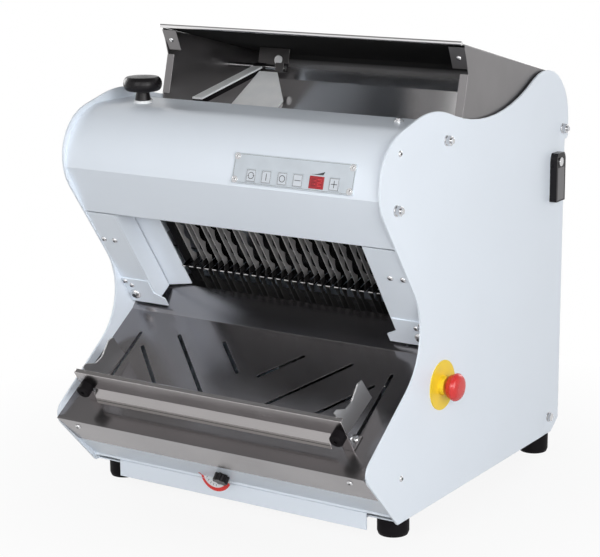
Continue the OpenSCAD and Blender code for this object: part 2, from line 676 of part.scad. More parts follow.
module drive_belt() color("black") place() translate([-belt_half, crank_at[0], crank_at[1]])
    rotate([90, 0, 90]) linear_extrude(2 * belt_half) difference() {
        polygon(belt_loop(belt_r + belt_thick, belt_small_r + belt_thick, belt_span));
        polygon(belt_loop(belt_r, belt_small_r, belt_span));
    }

// Lid with its side plates, and the loaf pusher hung in it
lid_skirt_shares = [[-0.038, 0.962, 0], [0, 0.911, 0], [0.011, 0.825, 0]];
lid_corner_shares = concat(
    [[-0.525, 1.096, 0], [lid_back_at[0] / body_depth, lid_back_at[1] / body_depth, 0]],
    lid_skirt_shares,
    [[-0.038, 0.8, 0.02], [-0.172, 0.836, 0.1], [-0.534, 0.891, 0.006]],
    [[-0.531, 0.931, 0], [-0.506, 1.028, 0.01]]
);
lid_flange = 12;
lid_tab_top_at = body_depth * [-0.525, 1.092];
lid_tab_low_at = body_depth * [-0.503, 1.041];
lid_tab_x0 = 0.446 * inner_width;
lid_edge_top_at = body_depth * [-0.505, 1.028];
lid_edge_low_at = body_depth * [-0.53, 0.933];
lid_skirt = [for (i = [len(lid_skirt_shares) - 1 : -1 : 0]) body_depth * flat(lid_skirt_shares[i])];
rivet_x = 0.471 * inner_width;
module lid_sheet() color("gainsboro") place() {
    sheet_x(-lid_in, lid_in, strip(concat(lid_skirt, [lid_back_at, lid_rim_at]), steel_sheet));
    rod_x(lid_rim_at, -lid_in, lid_in, rim_r);
}
module lid_side() difference() {
    union() {
        sheet_x(lid_in, lid_half, rounded(lid_corner_shares));
        fold(lid_edge_low_at, lid_edge_top_at, steel_sheet, lid_in - lid_flange, lid_half);
        fold(lid_tab_low_at, lid_tab_top_at, steel_sheet, lid_tab_x0, lid_half);
    }
    rod_x(hinge_at, lid_in - lid_flange, half_in, tie_r + running_play);
    on_tab() cylinder(h = 4 * rim_r, r = rivet_r + hole_play, center = true);
}
rivet_r = 2;
lid_tab = lid_tab_top_at - lid_tab_low_at;
module on_tab() translate([rivet_x, lid_tab_low_at[0], lid_tab_low_at[1]])
    rotate([atan2(lid_tab[1], lid_tab[0]), 0, 0]) translate([0, norm(lid_tab) / 2, 0]) children();
module lid_sides() color("gainsboro") place() both_sides() lid_side();
module lid_rivets() color("silver") place() both_sides() on_tab() translate([0, 0, steel_sheet])
    dome_screw(4 * rivet_r, 2 * steel_sheet);
bracket_right_x = -0.285 * inner_width;
bracket_drop = 40;
bracket_y = pusher_y + 1.6 * pusher_r;
bracket_hole_r = 8;
module pusher_bracket() color("gray") place() on_lid() difference() {
    union() {
        box([arm_x0, bracket_y, -bracket_drop], [bracket_right_x, bracket_y + cover_sheet, -steel_sheet]);
        box([bracket_right_x - 4 * pusher_r, pusher_y - 1.6 * pusher_r, pusher_z - 1.8 * pusher_r],
            [bracket_right_x, bracket_y, pusher_z + 1.8 * pusher_r]);
    }
    translate([-half_in, pusher_y, pusher_z]) rotate([0, 90, 0])
        cylinder(h = half_in, r = pusher_r + hole_play);
    translate([(arm_x1 + bracket_right_x) / 2, bracket_y, -bracket_drop / 2]) rotate([90, 0, 0])
        cylinder(h = 4 * cover_sheet, r = bracket_hole_r, center = true);
}
module pusher_rod() color("silver") place() rod_x(pusher_at, -lid_in, bracket_right_x, pusher_r);
arm_left_x = arm_x0 + moving_gap;
arm_right_x = arm_x1 - moving_gap;
clamp_reach = 2.2 * pusher_r;
clamp_r = 1.5 * pusher_r;
arm_thick = 3;
pad_thick = 8;
module pusher_clamp() color("black") place() difference() {
    union() {
        on_arm() box([arm_left_x, -clamp_reach, -0.8 * clamp_r], [arm_right_x, 0, 0.8 * clamp_r]);
        rod_x(pusher_at, arm_left_x, arm_right_x, clamp_r);
    }
    rod_x(pusher_at, -half_in, 0, pusher_r + running_play);
}
module pusher_arm() color("white") place() on_arm()
    box([arm_left_x, -arm_len, 0], [arm_right_x, -clamp_reach, arm_thick]);
module pusher_pad() color("black") place() on_arm()
    box([arm_left_x, -arm_len, -pad_thick], [arm_right_x, -clamp_reach, 0]);
flap_lean = 18;
flap_len = 0.203 * body_depth;
flap_wide = 0.162 * inner_width;
flap_shares = [[0, 0], [0.4, 0], [1, -0.57], [1, -0.95], [0.95, -1], [0, -1]];
flap_outline = [for (p = flap_shares) [p[0] * flap_wide, p[1] * flap_len]];
module pusher_plate() color("white") place() on_arm()
    translate([arm_right_x, -2 * clamp_reach, -pad_thick / 2]) rotate([flap_lean, 0, 0])
        linear_extrude(cover_sheet) polygon(flap_outline);

// Controls
plate_inset = 0.12 * plate_height;
module plate_corners() for (x = [-1, 1], y = [-1, 1])
    translate([x * (plate_width / 2 - plate_inset), y * (plate_height / 2 - plate_inset), 0]) children();
plate_screw_d = 0.1 * plate_height;
key_fit = 0.6 * moving_gap;
// A rectangular field of the control plate, between two heights
module field(place_share, wide, tall, low, high)
    translate([place_share * plate_width - wide / 2, key_row_y - tall / 2, low])
        cube([wide, tall, high - low]);
module control_plate() color("silver") place() on_plate() difference() {
    box([-plate_width / 2, -plate_height / 2, -plate_thick], [plate_width / 2, plate_height / 2, 0]);
    for (s = key_shares) field(s, key_width + 2 * key_fit, key_height + 2 * key_fit, -key_deep, key_deep);
    field(display_share, display_w, key_height, -key_deep, key_deep);
    plate_corners() cylinder(h = 4 * plate_thick, r = 0.25 * plate_screw_d + hole_play, center = true);
}
module display() color("darkred") place() on_plate()
    field(display_share, display_w, key_height, -key_deep, key_proud / 2);
module key(i) color("lightgray") place() on_plate()
    field(key_shares[i], key_width, key_height, key_travel + key_fit / 3 - key_deep, key_proud);
module key_mode() key(0);
module key_start() key(1);
module key_stop() key(2);
module key_minus() key(3);
module key_plus() key(4);
hood_knob_h = 26;
knob_rise = 12;
knob_lobe_r = 0.3 * hood_knob_h;
module on_hood() translate([hood_knob_at[0], hood_knob_at[1], hood_axis_at[1] + hood_r]) children();
module knob_collar() color("white") place() on_hood() difference() {
    cylinder(h = collar_h, r = 1.15 * knob_stem_r);
    cylinder(h = 4 * collar_h, r = 0.5 * knob_stem_r + running_play, center = true);
}
module hood_knob() color("black") place() on_hood() {
    translate([0, 0, collar_h + moving_gap]) rotate_extrude() polygon(concat(
        [[0, 0], [knob_stem_r, 0], [0.85 * knob_stem_r, knob_rise]],
        [for (a = [-90 : 15 : 90]) [hood_knob_d / 2 - knob_lobe_r + knob_lobe_r * cos(a),
            knob_rise + hood_knob_h / 2 + (hood_knob_h / 2 - knob_lobe_r / 4) * sin(a)]],
        [[0, knob_rise + hood_knob_h]]
    ));
    translate([0, 0, -knob_rise]) cylinder(h = knob_rise + collar_h + 2 * moving_gap, r = 0.5 * knob_stem_r);
}
dial_flutes = 7;
module dial_knob() color("black") place() on_kick() translate([dial_x, dial_up, moving_gap]) {
    difference() {
        cylinder(h = dial_h, d = dial_knob_d);
        for (k = [0 : dial_flutes - 1]) rotate(360 * k / dial_flutes)
            translate([0.54 * dial_knob_d, 0, -dial_h / 2]) cylinder(h = 2 * dial_h, r = 0.16 * dial_knob_d);
    }
    translate([0, 0, -dial_knob_d / 2]) cylinder(h = dial_knob_d / 2, r = dial_shaft_r);
}
module dial_switch() color("dimgray") place() on_kick() difference() {
    translate([dial_x, dial_up, -cover_sheet - dial_h]) cylinder(h = dial_h, d = 0.8 * dial_knob_d);
    translate([dial_x, dial_up, 0]) cylinder(h = dial_knob_d, r = dial_shaft_r + running_play, center = true);
}
module estop_plate() color("gold") place() on_right(stop_button_at) difference() {
    cylinder(h = steel_sheet, d = stop_plate_d);
    cylinder(h = 4 * steel_sheet, r = barrel_r + hole_play, center = true);
}
module estop_collar() color("gold") place() on_right(stop_button_at) difference() {
    union() {
        translate([0, 0, steel_sheet]) cylinder(h = collar_reach - steel_sheet, r = 0.7 * mushroom_d / 2);
        translate([0, 0, -2 * barrel_r]) cylinder(h = 2 * barrel_r + collar_reach, r = barrel_r);
    }
    translate([0, 0, -2 * barrel_r - moving_gap]) cylinder(h = 4 * mushroom_reach, r = stem_r + running_play);
}
mushroom_h = mushroom_reach - mushroom_back;
module estop_button() color("red") place() on_right(stop_button_at) {
    translate([0, 0, mushroom_back]) rotate_extrude() polygon(concat(
        [[0, 0], [0.85 * mushroom_d / 2, 0]],
        [for (a = [0 : 15 : 90]) [mushroom_d / 2 * sqrt(cos(a)), mushroom_h * (0.45 + 0.55 * sin(a))]]
    ));
    translate([0, 0, -barrel_r]) cylinder(h = mushroom_back + barrel_r, r = stem_r);
}
sensor_lo_at = body_depth * [-0.081, 0.662];
sensor_hi_at = body_depth * [-0.031, 0.766];
sensor_thick = 12;
sensor_wide = sensor_hi_at[0] - sensor_lo_at[0];
sensor_tall = sensor_hi_at[1] - sensor_lo_at[1];
module lid_sensor() color("black") place() translate([half_out, sensor_lo_at[0], sensor_lo_at[1]])
    rotate([90, 0, 90]) linear_extrude(sensor_thick) intersection() {
        union() {
            square([sensor_wide, sensor_tall]);
            translate([sensor_wide / 2, sensor_tall]) circle(d = sensor_wide);
        }
        square([sensor_wide, sensor_tall + sensor_thick]);
    }

// Screws that hold the covers
module cover_screws() color("silver") place() {
    both_sides() {
        for (at = side_screws) on_right(at) dome_screw(screw_head_d, panel_sheet + cover_sheet);
        translate(hood_screw_at) dome_screw(screw_head_d, 3 * cover_sheet);
        on_slope() {
            for (at = throat_screws) on_throat(at) dome_screw(screw_head_d, 3 * cover_sheet);
            for (at = bracket_screws) on_throat(at) translate([0, 0, cover_sheet])
                dome_screw(screw_head_d, 3 * cover_sheet);
            on_throat(hook_stud_at) translate([0, 0, cover_sheet]) dome_screw(hook_stud_d, 3 * cover_sheet);
        }
        on_front() translate([tray_screw_at[0], -tray_screw_at[1], 0])
            dome_screw(screw_head_d, 3 * steel_sheet);
    }
    on_plate() plate_corners() dome_screw(plate_screw_d, plate_thick);
}

// Crumb drawer
drawer_floor_z = rail_foot_z + 0.6 * moving_gap;
module crumb_drawer() color("whitesmoke") place() {
    box([-drawer_half, drawer_front_y, drawer_low_z],
        [drawer_half, drawer_front_y + cover_sheet, drawer_top_z]);
    difference() {
        box([-drawer_box_half, drawer_front_y, drawer_floor_z],
            [drawer_box_half, drawer_back_y, foot_h - moving_gap]);
        box([cover_sheet - drawer_box_half, drawer_front_y + cover_sheet, drawer_floor_z + cover_sheet],
            [drawer_box_half - cover_sheet, drawer_back_y - cover_sheet, 2 * foot_h]);
    }
}
module drawer_rails() both_sides() {
    box([drawer_box_half + moving_gap, base_front_y, rail_foot_z - cover_sheet],
        [drawer_box_half + moving_gap + cover_sheet, drawer_back_y, foot_h + cover_sheet / 2]);
    box([drawer_box_half - 4 * cover_sheet, base_front_y, rail_foot_z - cover_sheet],
        [drawer_box_half + moving_gap + cover_sheet, drawer_back_y, rail_foot_z]);
}

side_panel_left();
side_panel_right();
base_plate();
rear_cover();
hood();
kick_panel();
feet();
tie_rods();
hinge_bolts();
tie_nuts();
throat_plates();
inner_walls();
hook_brackets();
tray();
exit_plate();
stop_bar();
stop_fingers();
stop_bumpers();
stop_nuts();
loaf_floor();
frame_front();
frame_rear();
blades_front();
blades_rear();
guide_rods();
guide_blocks();
con_rod_front();
con_rod_rear();
crankshaft();
crank_pulley();
motor_pulley();
motor();
bearing_blocks();
drive_belt();
lid_sheet();
lid_sides();
lid_rivets();
pusher_bracket();
pusher_rod();
pusher_clamp();
pusher_arm();
pusher_pad();
pusher_plate();
control_plate();
display();
key_mode();
key_start();
key_stop();
key_minus();
key_plus();
knob_collar();
hood_knob();
dial_knob();
dial_switch();
estop_plate();
estop_collar();
estop_button();
lid_sensor();
cover_screws();
crumb_drawer();
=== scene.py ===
"""Finish, small details, light and camera for the countertop bread slicer.

Metres, in the part's own frame: +X to the machine's right, front towards -Y, +Z up.
"""
import json
import math

import bmesh
import bpy
from mathutils import Matrix, Vector


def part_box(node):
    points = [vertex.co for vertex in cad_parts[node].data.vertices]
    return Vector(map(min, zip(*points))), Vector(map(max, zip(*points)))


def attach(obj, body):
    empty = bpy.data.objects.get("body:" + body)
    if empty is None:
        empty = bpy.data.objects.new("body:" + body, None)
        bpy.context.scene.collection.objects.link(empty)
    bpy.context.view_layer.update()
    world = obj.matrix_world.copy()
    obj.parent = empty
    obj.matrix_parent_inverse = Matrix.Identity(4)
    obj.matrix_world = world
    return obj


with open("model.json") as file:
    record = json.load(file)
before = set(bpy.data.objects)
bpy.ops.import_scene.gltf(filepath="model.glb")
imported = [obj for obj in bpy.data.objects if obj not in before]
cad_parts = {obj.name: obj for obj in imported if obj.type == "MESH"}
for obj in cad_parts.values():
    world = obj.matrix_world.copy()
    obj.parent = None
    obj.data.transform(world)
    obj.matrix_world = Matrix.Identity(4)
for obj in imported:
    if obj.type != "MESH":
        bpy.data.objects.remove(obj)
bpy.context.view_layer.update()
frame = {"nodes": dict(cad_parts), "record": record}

MM = 0.001

LEFT = Vector((-1, 0, 0))
RIGHT = Vector((1, 0, 0))
FRONT = Vector((0, -1, 0))
REAR = Vector((0, 1, 0))
UP = Vector((0, 0, 1))

PANEL_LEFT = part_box("side_panel_left")
PANEL_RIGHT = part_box("side_panel_right")
BODY_OF = {node: body for body, nodes in frame["record"]["behaviour"]["bodies"].items() for node in nodes}

# The point on the ground under the rear cover's back, midway between the side panels
MACHINE = Vector(((PANEL_LEFT[0].x + PANEL_RIGHT[1].x) / 2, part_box("rear_cover")[1].y, 0))


def add_object(name, data):
    """An object in the scene that holds a mesh, a lamp or the camera."""
    made = bpy.data.objects.new(name, data)
    bpy.context.scene.collection.objects.link(made)
    return made


def axes_at(place, across, up, normal):
    """The frame of three axes at a place."""
    made = Matrix((across, up, normal)).transposed().to_4x4()
    made.translation = place
    return made


# Camera

IMAGE_WIDTH = 600
FOCAL_PIXELS = 1857.3
FILM_WIDTH = 36
CLIP_END = 100
AZIMUTH = math.radians(32.98)
ELEVATION = math.radians(13.41)
ROLL = math.radians(-0.47)
CAMERA_ACROSS = -197.3 * MM
CAMERA_RAISED = 245.2 * MM
CAMERA_BACK = 3275 * MM


def make_camera():
    """The camera at the photograph's viewing angle, which looks down a little from the front's right."""
    back = Vector((
        math.sin(AZIMUTH) * math.cos(ELEVATION),
        -math.cos(AZIMUTH) * math.cos(ELEVATION),
        math.sin(ELEVATION),
    ))
    level = Vector((math.cos(AZIMUTH), math.sin(AZIMUTH), 0))
    upright = back.cross(level)
    right = math.cos(ROLL) * level + math.sin(ROLL) * upright
    up = math.cos(ROLL) * upright - math.sin(ROLL) * level
    data = bpy.data.cameras.new("camera")
    data.lens = FOCAL_PIXELS / IMAGE_WIDTH * FILM_WIDTH
    data.sensor_width = FILM_WIDTH
    data.sensor_fit = "HORIZONTAL"
    data.clip_end = CLIP_END
    camera = add_object("camera", data)
    place = MACHINE + CAMERA_ACROSS * right + CAMERA_RAISED * up + CAMERA_BACK * back
    camera.matrix_world = axes_at(place, right, up, back)
    bpy.context.scene.camera = camera


# Shader nodes

PURE_WHITE = (1, 1, 1, 1)
WHOLE_RANGE = (0, 1)

# Places of a colour mixer's inputs and output
MIX_SHARE, MIX_FIRST, MIX_SECOND = 0, 6, 7
MIX_COLOUR = 2

# Noise lies in this range nearly everywhere
NOISE_DETAIL = 3.0
NOISE_RANGE = (0.3, 0.7)

# An edge is full where its rounded normal turns off by the first cosine, and ends at the second
EDGE_RAYS = 6
EDGE_COSINES = (0.75, 0.98)


def shade(colour, factor):
    """A colour made lighter or darker, with its alpha."""
    return tuple(min(1, c * factor) for c in colour) + (1,)


class Nodes:
    """A tree of shader nodes, with short ways to add the ones that the finishes use."""

    def __init__(self, tree, coords):
        self.tree = tree
        self.coords = self.add("ShaderNodeTexCoord").outputs[coords]

    def feed(self, socket, value):
        """Links another node's output to a socket, or sets the socket's own value."""
        if isinstance(value, bpy.types.NodeSocket):
            self.tree.links.new(value, socket)
        else:
            socket.default_value = value

    def feed_named(self, node, inputs):
        """Feeds a node's inputs by their names, written with _ for a space."""
        for name, value in inputs.items():
            self.feed(node.inputs[name.replace("_", " ")], value)

    def add(self, kind, *values, settings=None, **inputs):
        """A node with its settings, its first inputs in order and other inputs by name."""
        made = self.tree.nodes.new(kind)
        for key, value in (settings or {}).items():
            setattr(made, key, value)
        for socket, value in zip(made.inputs, values):
            self.feed(socket, value)
        self.feed_named(made, inputs)
        return made

    def compute(self, operation, first, second):
        """The sum, the product or the larger one of two values."""
        return self.add("ShaderNodeMath", first, second, settings={"operation": operation}).outputs[0]

    def dot(self, first, second):
        """The dot product of two directions."""
        made = self.add("ShaderNodeVectorMath", first, second, settings={"operation": "DOT_PRODUCT"})
        return made.outputs["Value"]

    def spread(self, value, target, source=NOISE_RANGE):
        """A value stretched from its own range to another one, and held at its ends."""
        made = self.add(
            "ShaderNodeMapRange", Value=value, From_Min=source[0], From_Max=source[1], To_Min=target[0],
            To_Max=target[1])
        return made.outputs[0]

    def around(self, value, middle, reach):
        """Noise spread to both sides of a middle value."""
        return self.spread(value, (middle - reach, middle + reach))

    def mix(self, share, first, second):
        """A colour between two others."""
        made = self.add("ShaderNodeMix", settings={"data_type": "RGBA"})
        for place, value in ((MIX_SHARE, share), (MIX_FIRST, first), (MIX_SECOND, second)):
            self.feed(made.inputs[place], value)
        return made.outputs[MIX_COLOUR]

    def shades(self, share, colour, factors):
        """A colour that runs from one shade of itself to another."""
        return self.mix(share, shade(colour, factors[0]), shade(colour, factors[1]))

    def noise(self, waves, detail=NOISE_DETAIL, stretch=(1, 1, 1)):
        """Noise between 0 and 1 with so many waves a metre, more of them along an axis that is stretched."""
        mapped = self.add("ShaderNodeMapping", Vector=self.coords, Scale=stretch).outputs[0]
        return self.add("ShaderNodeTexNoise", Vector=mapped, Scale=waves, Detail=detail).outputs["Fac"]

    def zone(self, axis, start, end):
        """0 up to one place on an axis of the part's frame, and 1 from another place on."""
        along = self.add("ShaderNodeSeparateXYZ", Vector=self.coords).outputs[axis]
        return self.spread(along, WHOLE_RANGE, (start, end))

    def face_normal(self):
        """The surface's own normal."""
        return self.add("ShaderNodeNewGeometry").outputs["Normal"]

    def edges(self, radius):
        """The normal rounded at edges, and a mask that is 1 on them."""
        rounded = self.add("ShaderNodeBevel", settings={"samples": EDGE_RAYS}, Radius=radius).outputs[0]
        return rounded, self.spread(self.dot(rounded, self.face_normal()), (1, 0), EDGE_COSINES)

    def bump(self, height, depth, normal):
        """A normal bumped to a depth."""
        made = self.add("ShaderNodeBump", Strength=1.0, Distance=depth, Height=height, Normal=normal)
        return made.outputs[0]

    def seen_rays(self):
        """1 for rays that are seen, straight, off a gloss or through glass, and 0 for light on surfaces."""
        path = self.add("ShaderNodeLightPath")
        seen = path.outputs["Is Camera Ray"]
        for kind in ("Is Glossy Ray", "Is Transmission Ray"):
            seen = self.compute("MAXIMUM", seen, path.outputs[kind])
        return seen


# Each material by the name that it is asked for
MATERIALS = {}


class Shader(Nodes):
    """A new material with a Principled shader and the nodes that feed it."""

    def __init__(self, name, **constants):
        self.material = bpy.data.materials.new(name)
        self.material.use_nodes = True
        MATERIALS[name] = self.material
        super().__init__(self.material.node_tree, "Object")
        self.shader = self.tree.nodes["Principled BSDF"]
        self.set(**constants)

    def set(self, **inputs):
        """Feeds the shader's sockets."""
        self.feed_named(self.shader, inputs)


# Paint, plastic and ink

ROUNDED_EDGE = 0.6 * MM

COAT_CLOUD_WAVES = 7
COAT_SHADES = (0.975, 1.02)
COAT_ROUGHNESS_REACH = 0.05
COAT_RUB_WAVES = 60
COAT_RUB_SHARES = (0, 0.6)
COAT_RUB_SHADE = 0.9
COAT_PEEL_WAVES = 900
COAT_PEEL_DETAIL = 2
COAT_PEEL_DEPTH = 0.02 * MM


def painted(name, colour, roughness):
    """Powder coat with orange peel, faint clouds and slightly rubbed edges."""
    s = Shader(name)
    clouds = s.noise(COAT_CLOUD_WAVES)
    normal, edge = s.edges(ROUNDED_EDGE)
    rubbed = s.compute("MULTIPLY", edge, s.spread(s.noise(COAT_RUB_WAVES), COAT_RUB_SHARES))
    peel = s.noise(COAT_PEEL_WAVES, COAT_PEEL_DETAIL)
    s.set(
        Base_Color=s.mix(rubbed, s.shades(clouds, colour, COAT_SHADES), shade(colour, COAT_RUB_SHADE)),
        Roughness=s.around(clouds, roughness, COAT_ROUGHNESS_REACH),
        Normal=s.bump(peel, COAT_PEEL_DEPTH, normal),
    )


MOULD_CLOUD_WAVES = 35
MOULD_SHADES = (0.88, 1.12)
MOULD_ROUGHNESS_REACH = 0.07
MOULD_RUB_SHARES = (0, 0.5)
MOULD_RUB_LIFT = 0.02
MOULD_RUB_SHADE = 1.4

# Waves a metre and depth of moulded skins
RUBBER_SKIN = (700, 0.03 * MM)
PLASTIC_SKIN = (500, 0.015 * MM)
FILM_SKIN = (1500, 0.008 * MM)
WINDOW_SKIN = (300, 0.002 * MM)
DISC_SKIN = (600, 0.012 * MM)
BUTTON_SKIN = (600, 0.01 * MM)


def moulded(name, colour, roughness, skin, **constants):
    """Plastic or rubber with a fine skin, faint clouds and rubbed edges."""
    s = Shader(name, **constants)
    waves, depth = skin
    clouds = s.noise(MOULD_CLOUD_WAVES)
    normal, edge = s.edges(ROUNDED_EDGE)
    rubbed = shade([c + MOULD_RUB_LIFT for c in colour], MOULD_RUB_SHADE)
    share = s.spread(edge, MOULD_RUB_SHARES, WHOLE_RANGE)
    s.set(
        Base_Color=s.mix(share, s.shades(clouds, colour, MOULD_SHADES), rubbed),
        Roughness=s.around(clouds, roughness, MOULD_ROUGHNESS_REACH),
        Normal=s.bump(s.noise(waves), depth, normal),
    )


INK_ROUGHNESS = 0.45
INK_ROUGHNESS_REACH = 0.05
INK_WAVES = 400
INK_SHADES = (0.92, 1.08)


def printed(name, colour, roughness=INK_ROUGHNESS):
    """Ink or film with a faint mottle."""
    s = Shader(name)
    mottle = s.noise(INK_WAVES)
    s.set(
        Base_Color=s.shades(mottle, colour, INK_SHADES),
        Roughness=s.around(mottle, roughness, INK_ROUGHNESS_REACH),
    )


GLOW_WAVES = 500
GLOW_SHADES = (0.9, 1.1)
GLOW_ROUGHNESS = 0.3


def lit(name, colour, strength):
    """A display segment that glows."""
    s = Shader(name, Base_Color=shade(colour, 1), Roughness=GLOW_ROUGHNESS, Emission_Strength=strength)
    s.set(Emission_Color=s.shades(s.noise(GLOW_WAVES), colour, GLOW_SHADES))


# Metal

# Waves a metre of the grain along X, Y and Z
ALONG_X = (5, 900, 900)
ALONG_Y = (900, 5, 900)
ALONG_Z = (900, 900, 20)
ALL_WAYS = (300, 300, 300)
GRAIN_DETAIL = 4
GRAIN_SHADES = (0.96, 1.04)
GRAIN_ROUGHNESS_REACH = 0.02

# Depths of the grain
MIRROR = 0.0003 * MM
POLISHED = 0.0005 * MM
BRUSHED = 0.002 * MM
TURNED = 0.003 * MM

SMUDGE_WAVES = 9
SMUDGE_SHARES = (0, 0.4)
SMUDGE_SHADE = 0.8
SMUDGE_ROUGHNESS_REACH = 0.06
CLEAN_ROUGHNESS_REACH = 0.03
THIN_EDGE = 0.5 * MM
WIDE_EDGE = 1.2 * MM
# Painted light on metal edges: their colour is the metal's colour times this factor, a painted highlight
# above 1 and painted shade below 1
PAINTED_EDGE_LIGHT = 1.35
# Under painted shade, the edges keep this many times the shaded share of the colour
PAINTED_SHADE_EDGE_FACTOR = 4

# Painted shade: the axis, the places where the painted shade ends and full colour and shine start, and the
# shaded part's share of the colour
COMB_PAINTED_SHADE = ("Y", MACHINE.y - 375 * MM, MACHINE.y - 365 * MM, 0.1)
UNDER_COMB_PAINTED_SHADE = ("Z", 338 * MM, 352 * MM, 0.12)


class Metal(Shader):
    """Sheet metal with fine parallel grain, faint smudges and painted light on its edges."""

    def __init__(self, name, colour, roughness, grain, depth=BRUSHED, smudge=SMUDGE_ROUGHNESS_REACH,
                 glint=PAINTED_EDGE_LIGHT, edge_width=THIN_EDGE, **constants):
        super().__init__(name, **{"Metallic": 1.0, **constants})
        self.colour = colour
        lines = self.noise(1, GRAIN_DETAIL, grain)
        smudges = self.noise(SMUDGE_WAVES, GRAIN_DETAIL)
        rounded, self.edge_mask = self.edges(edge_width)
        streaks = self.shades(lines, colour, GRAIN_SHADES)
        self.skin = self.mix(self.spread(smudges, SMUDGE_SHARES), streaks, shade(colour, SMUDGE_SHADE))
        # Painted light on the edges: a highlight where the factor is above 1, shade where it is below 1
        self.glint = shade(colour, glint)
        self.roughness = self.compute(
            "ADD", self.around(smudges, roughness, smudge), self.around(lines, 0, GRAIN_ROUGHNESS_REACH))
        self.normal = self.bump(lines, depth, rounded)

    def paint_shade(self, clear, share):
        """Paints shade: takes the metal down to a share of its colour where clear is 0."""
        self.skin = self.mix(clear, shade(self.colour, share), self.skin)
        self.glint = self.mix(clear, shade(self.colour, PAINTED_SHADE_EDGE_FACTOR * share), self.glint)

    def finish(self):
        """Joins the skin and the painted edge light in the shader."""
        self.set(
            Base_Color=self.mix(self.edge_mask, self.skin, self.glint),
            Roughness=self.roughness,
            Normal=self.normal,
        )


def brushed(name, colour, roughness, grain, paint_shade=None, **looks):
    """Brushed or polished metal, which may carry painted shade up to a place on one axis."""
    s = Metal(name, colour, roughness, grain, **looks)
    if paint_shade:
        *place, share = paint_shade
        s.paint_shade(s.zone(*place), share)
    s.finish()


BLADE_ROUGHNESS = 0.32
BLADE_METALLIC = 0.5


def toothed(name, colour, glint):
    """The steel of a row of blades, with painted highlights at the teeth and painted shade below the comb.
    """
    brushed(
        name, colour, BLADE_ROUGHNESS, ALONG_Z, UNDER_COMB_PAINTED_SHADE, smudge=CLEAN_ROUGHNESS_REACH, glint=glint,
        edge_width=WIDE_EDGE, Metallic=BLADE_METALLIC)


# The lid's upper inside carries painted shade: dark and not metallic above the heights given here, except at
# the rim
LID_INWARD = (0, -0.7, -0.7)
LID_TURN_COSINES = (-0.1, 0.1)
LID_UNSHADED_HEIGHTS = ("Z", 625 * MM, 600 * MM)
LID_RIM = ("Y", MACHINE.y - 336 * MM, MACHINE.y - 340 * MM)
LID_PAINTED_SHADE_SHARE = 0.05
LID_OUTSIDE_SHADE = 0.4
LID_OUTSIDE_EDGE_LIGHT = 0.6
LID_OUTSIDE_ROUGHNESS = (0, 0.2)


def lid_metal(name, colour, roughness, grain, **looks):
    """The lid's sheet: painted shade high up inside, where it is dark and not metallic, except at its rim;
    plainer and darker outside.
    """
    s = Metal(name, colour, roughness, grain, **looks)
    outside = s.spread(s.dot(s.face_normal(), LID_INWARD), (1, 0), LID_TURN_COSINES)
    s.roughness = s.compute("ADD", s.roughness, s.spread(outside, LID_OUTSIDE_ROUGHNESS, WHOLE_RANGE))
    s.skin = s.mix(outside, s.skin, shade(colour, LID_OUTSIDE_SHADE))
    s.glint = s.mix(outside, s.glint, shade(colour, LID_OUTSIDE_EDGE_LIGHT))
    # Painted shade high up inside, away from the rim and the outside; the sheet is not metallic there
    clear = s.zone(*LID_UNSHADED_HEIGHTS)
    for other in (outside, s.zone(*LID_RIM)):
        clear = s.compute("MAXIMUM", clear, other)
    s.paint_shade(clear, LID_PAINTED_SHADE_SHARE)
    s.set(Metallic=clear)
    s.finish()


# Every finish, with its colour and roughness

painted("white_paint", (0.775, 0.835, 0.91), 0.34)
painted("grey_paint", (0.33, 0.34, 0.36), 0.45)
painted("dark_paint", (0.035, 0.035, 0.037), 0.5)
# The tray's edges, its slot rims among them, are darker than its face: painted shade on the edges
brushed("tray_steel", (0.26, 0.247, 0.252), 0.2, ALONG_X, depth=POLISHED, glint=0.5, Metallic=0.92)
brushed("side_steel", (0.21, 0.203, 0.206), 0.36, ALONG_Y)
brushed(
    "mirror_steel", (0.36, 0.345, 0.35), 0.2, ALONG_X, depth=MIRROR, smudge=CLEAN_ROUGHNESS_REACH,
    glint=1.1)
# The comb's front part carries painted shade, up to the place given on Y
brushed(
    "floor_steel", (0.4, 0.39, 0.395), 0.14, ALONG_X, COMB_PAINTED_SHADE, depth=POLISHED,
    smudge=CLEAN_ROUGHNESS_REACH, glint=1.4)
lid_metal(
    "lid_steel", (0.82, 0.81, 0.815), 0.2, ALONG_X, depth=POLISHED, smudge=CLEAN_ROUGHNESS_REACH,
    glint=1.1, Specular_IOR_Level=0.0)
brushed("bracket_steel", (0.1, 0.097, 0.098), 0.3, ALONG_X, glint=4)
brushed(
    "stop_steel", (0.4, 0.382, 0.382), 0.22, ALONG_X, depth=POLISHED, glint=2.2, edge_width=WIDE_EDGE)
# Painted light: a rougher, less metallic steel that shows lighter, for the strip on the loaf stop's lip
brushed("hem_steel_painted_light", (0.31, 0.288, 0.28), 0.42, ALONG_X, depth=POLISHED, Metallic=0.4)
brushed("finger_steel", (0.66, 0.66, 0.67), 0.42, ALONG_Y)
brushed("bright_steel", (0.62, 0.62, 0.63), 0.18, ALL_WAYS, depth=TURNED)
# Both rows of blades carry painted shade below the comb and painted highlights on their teeth
toothed("blade_steel", (0.5, 0.49, 0.49), glint=1.9)
# The rear row's steel is a lighter copy of the front row's: painted light, as the rear row gets less light
toothed("rear_blade_steel_painted_light", (0.6, 0.59, 0.59), glint=1.6)
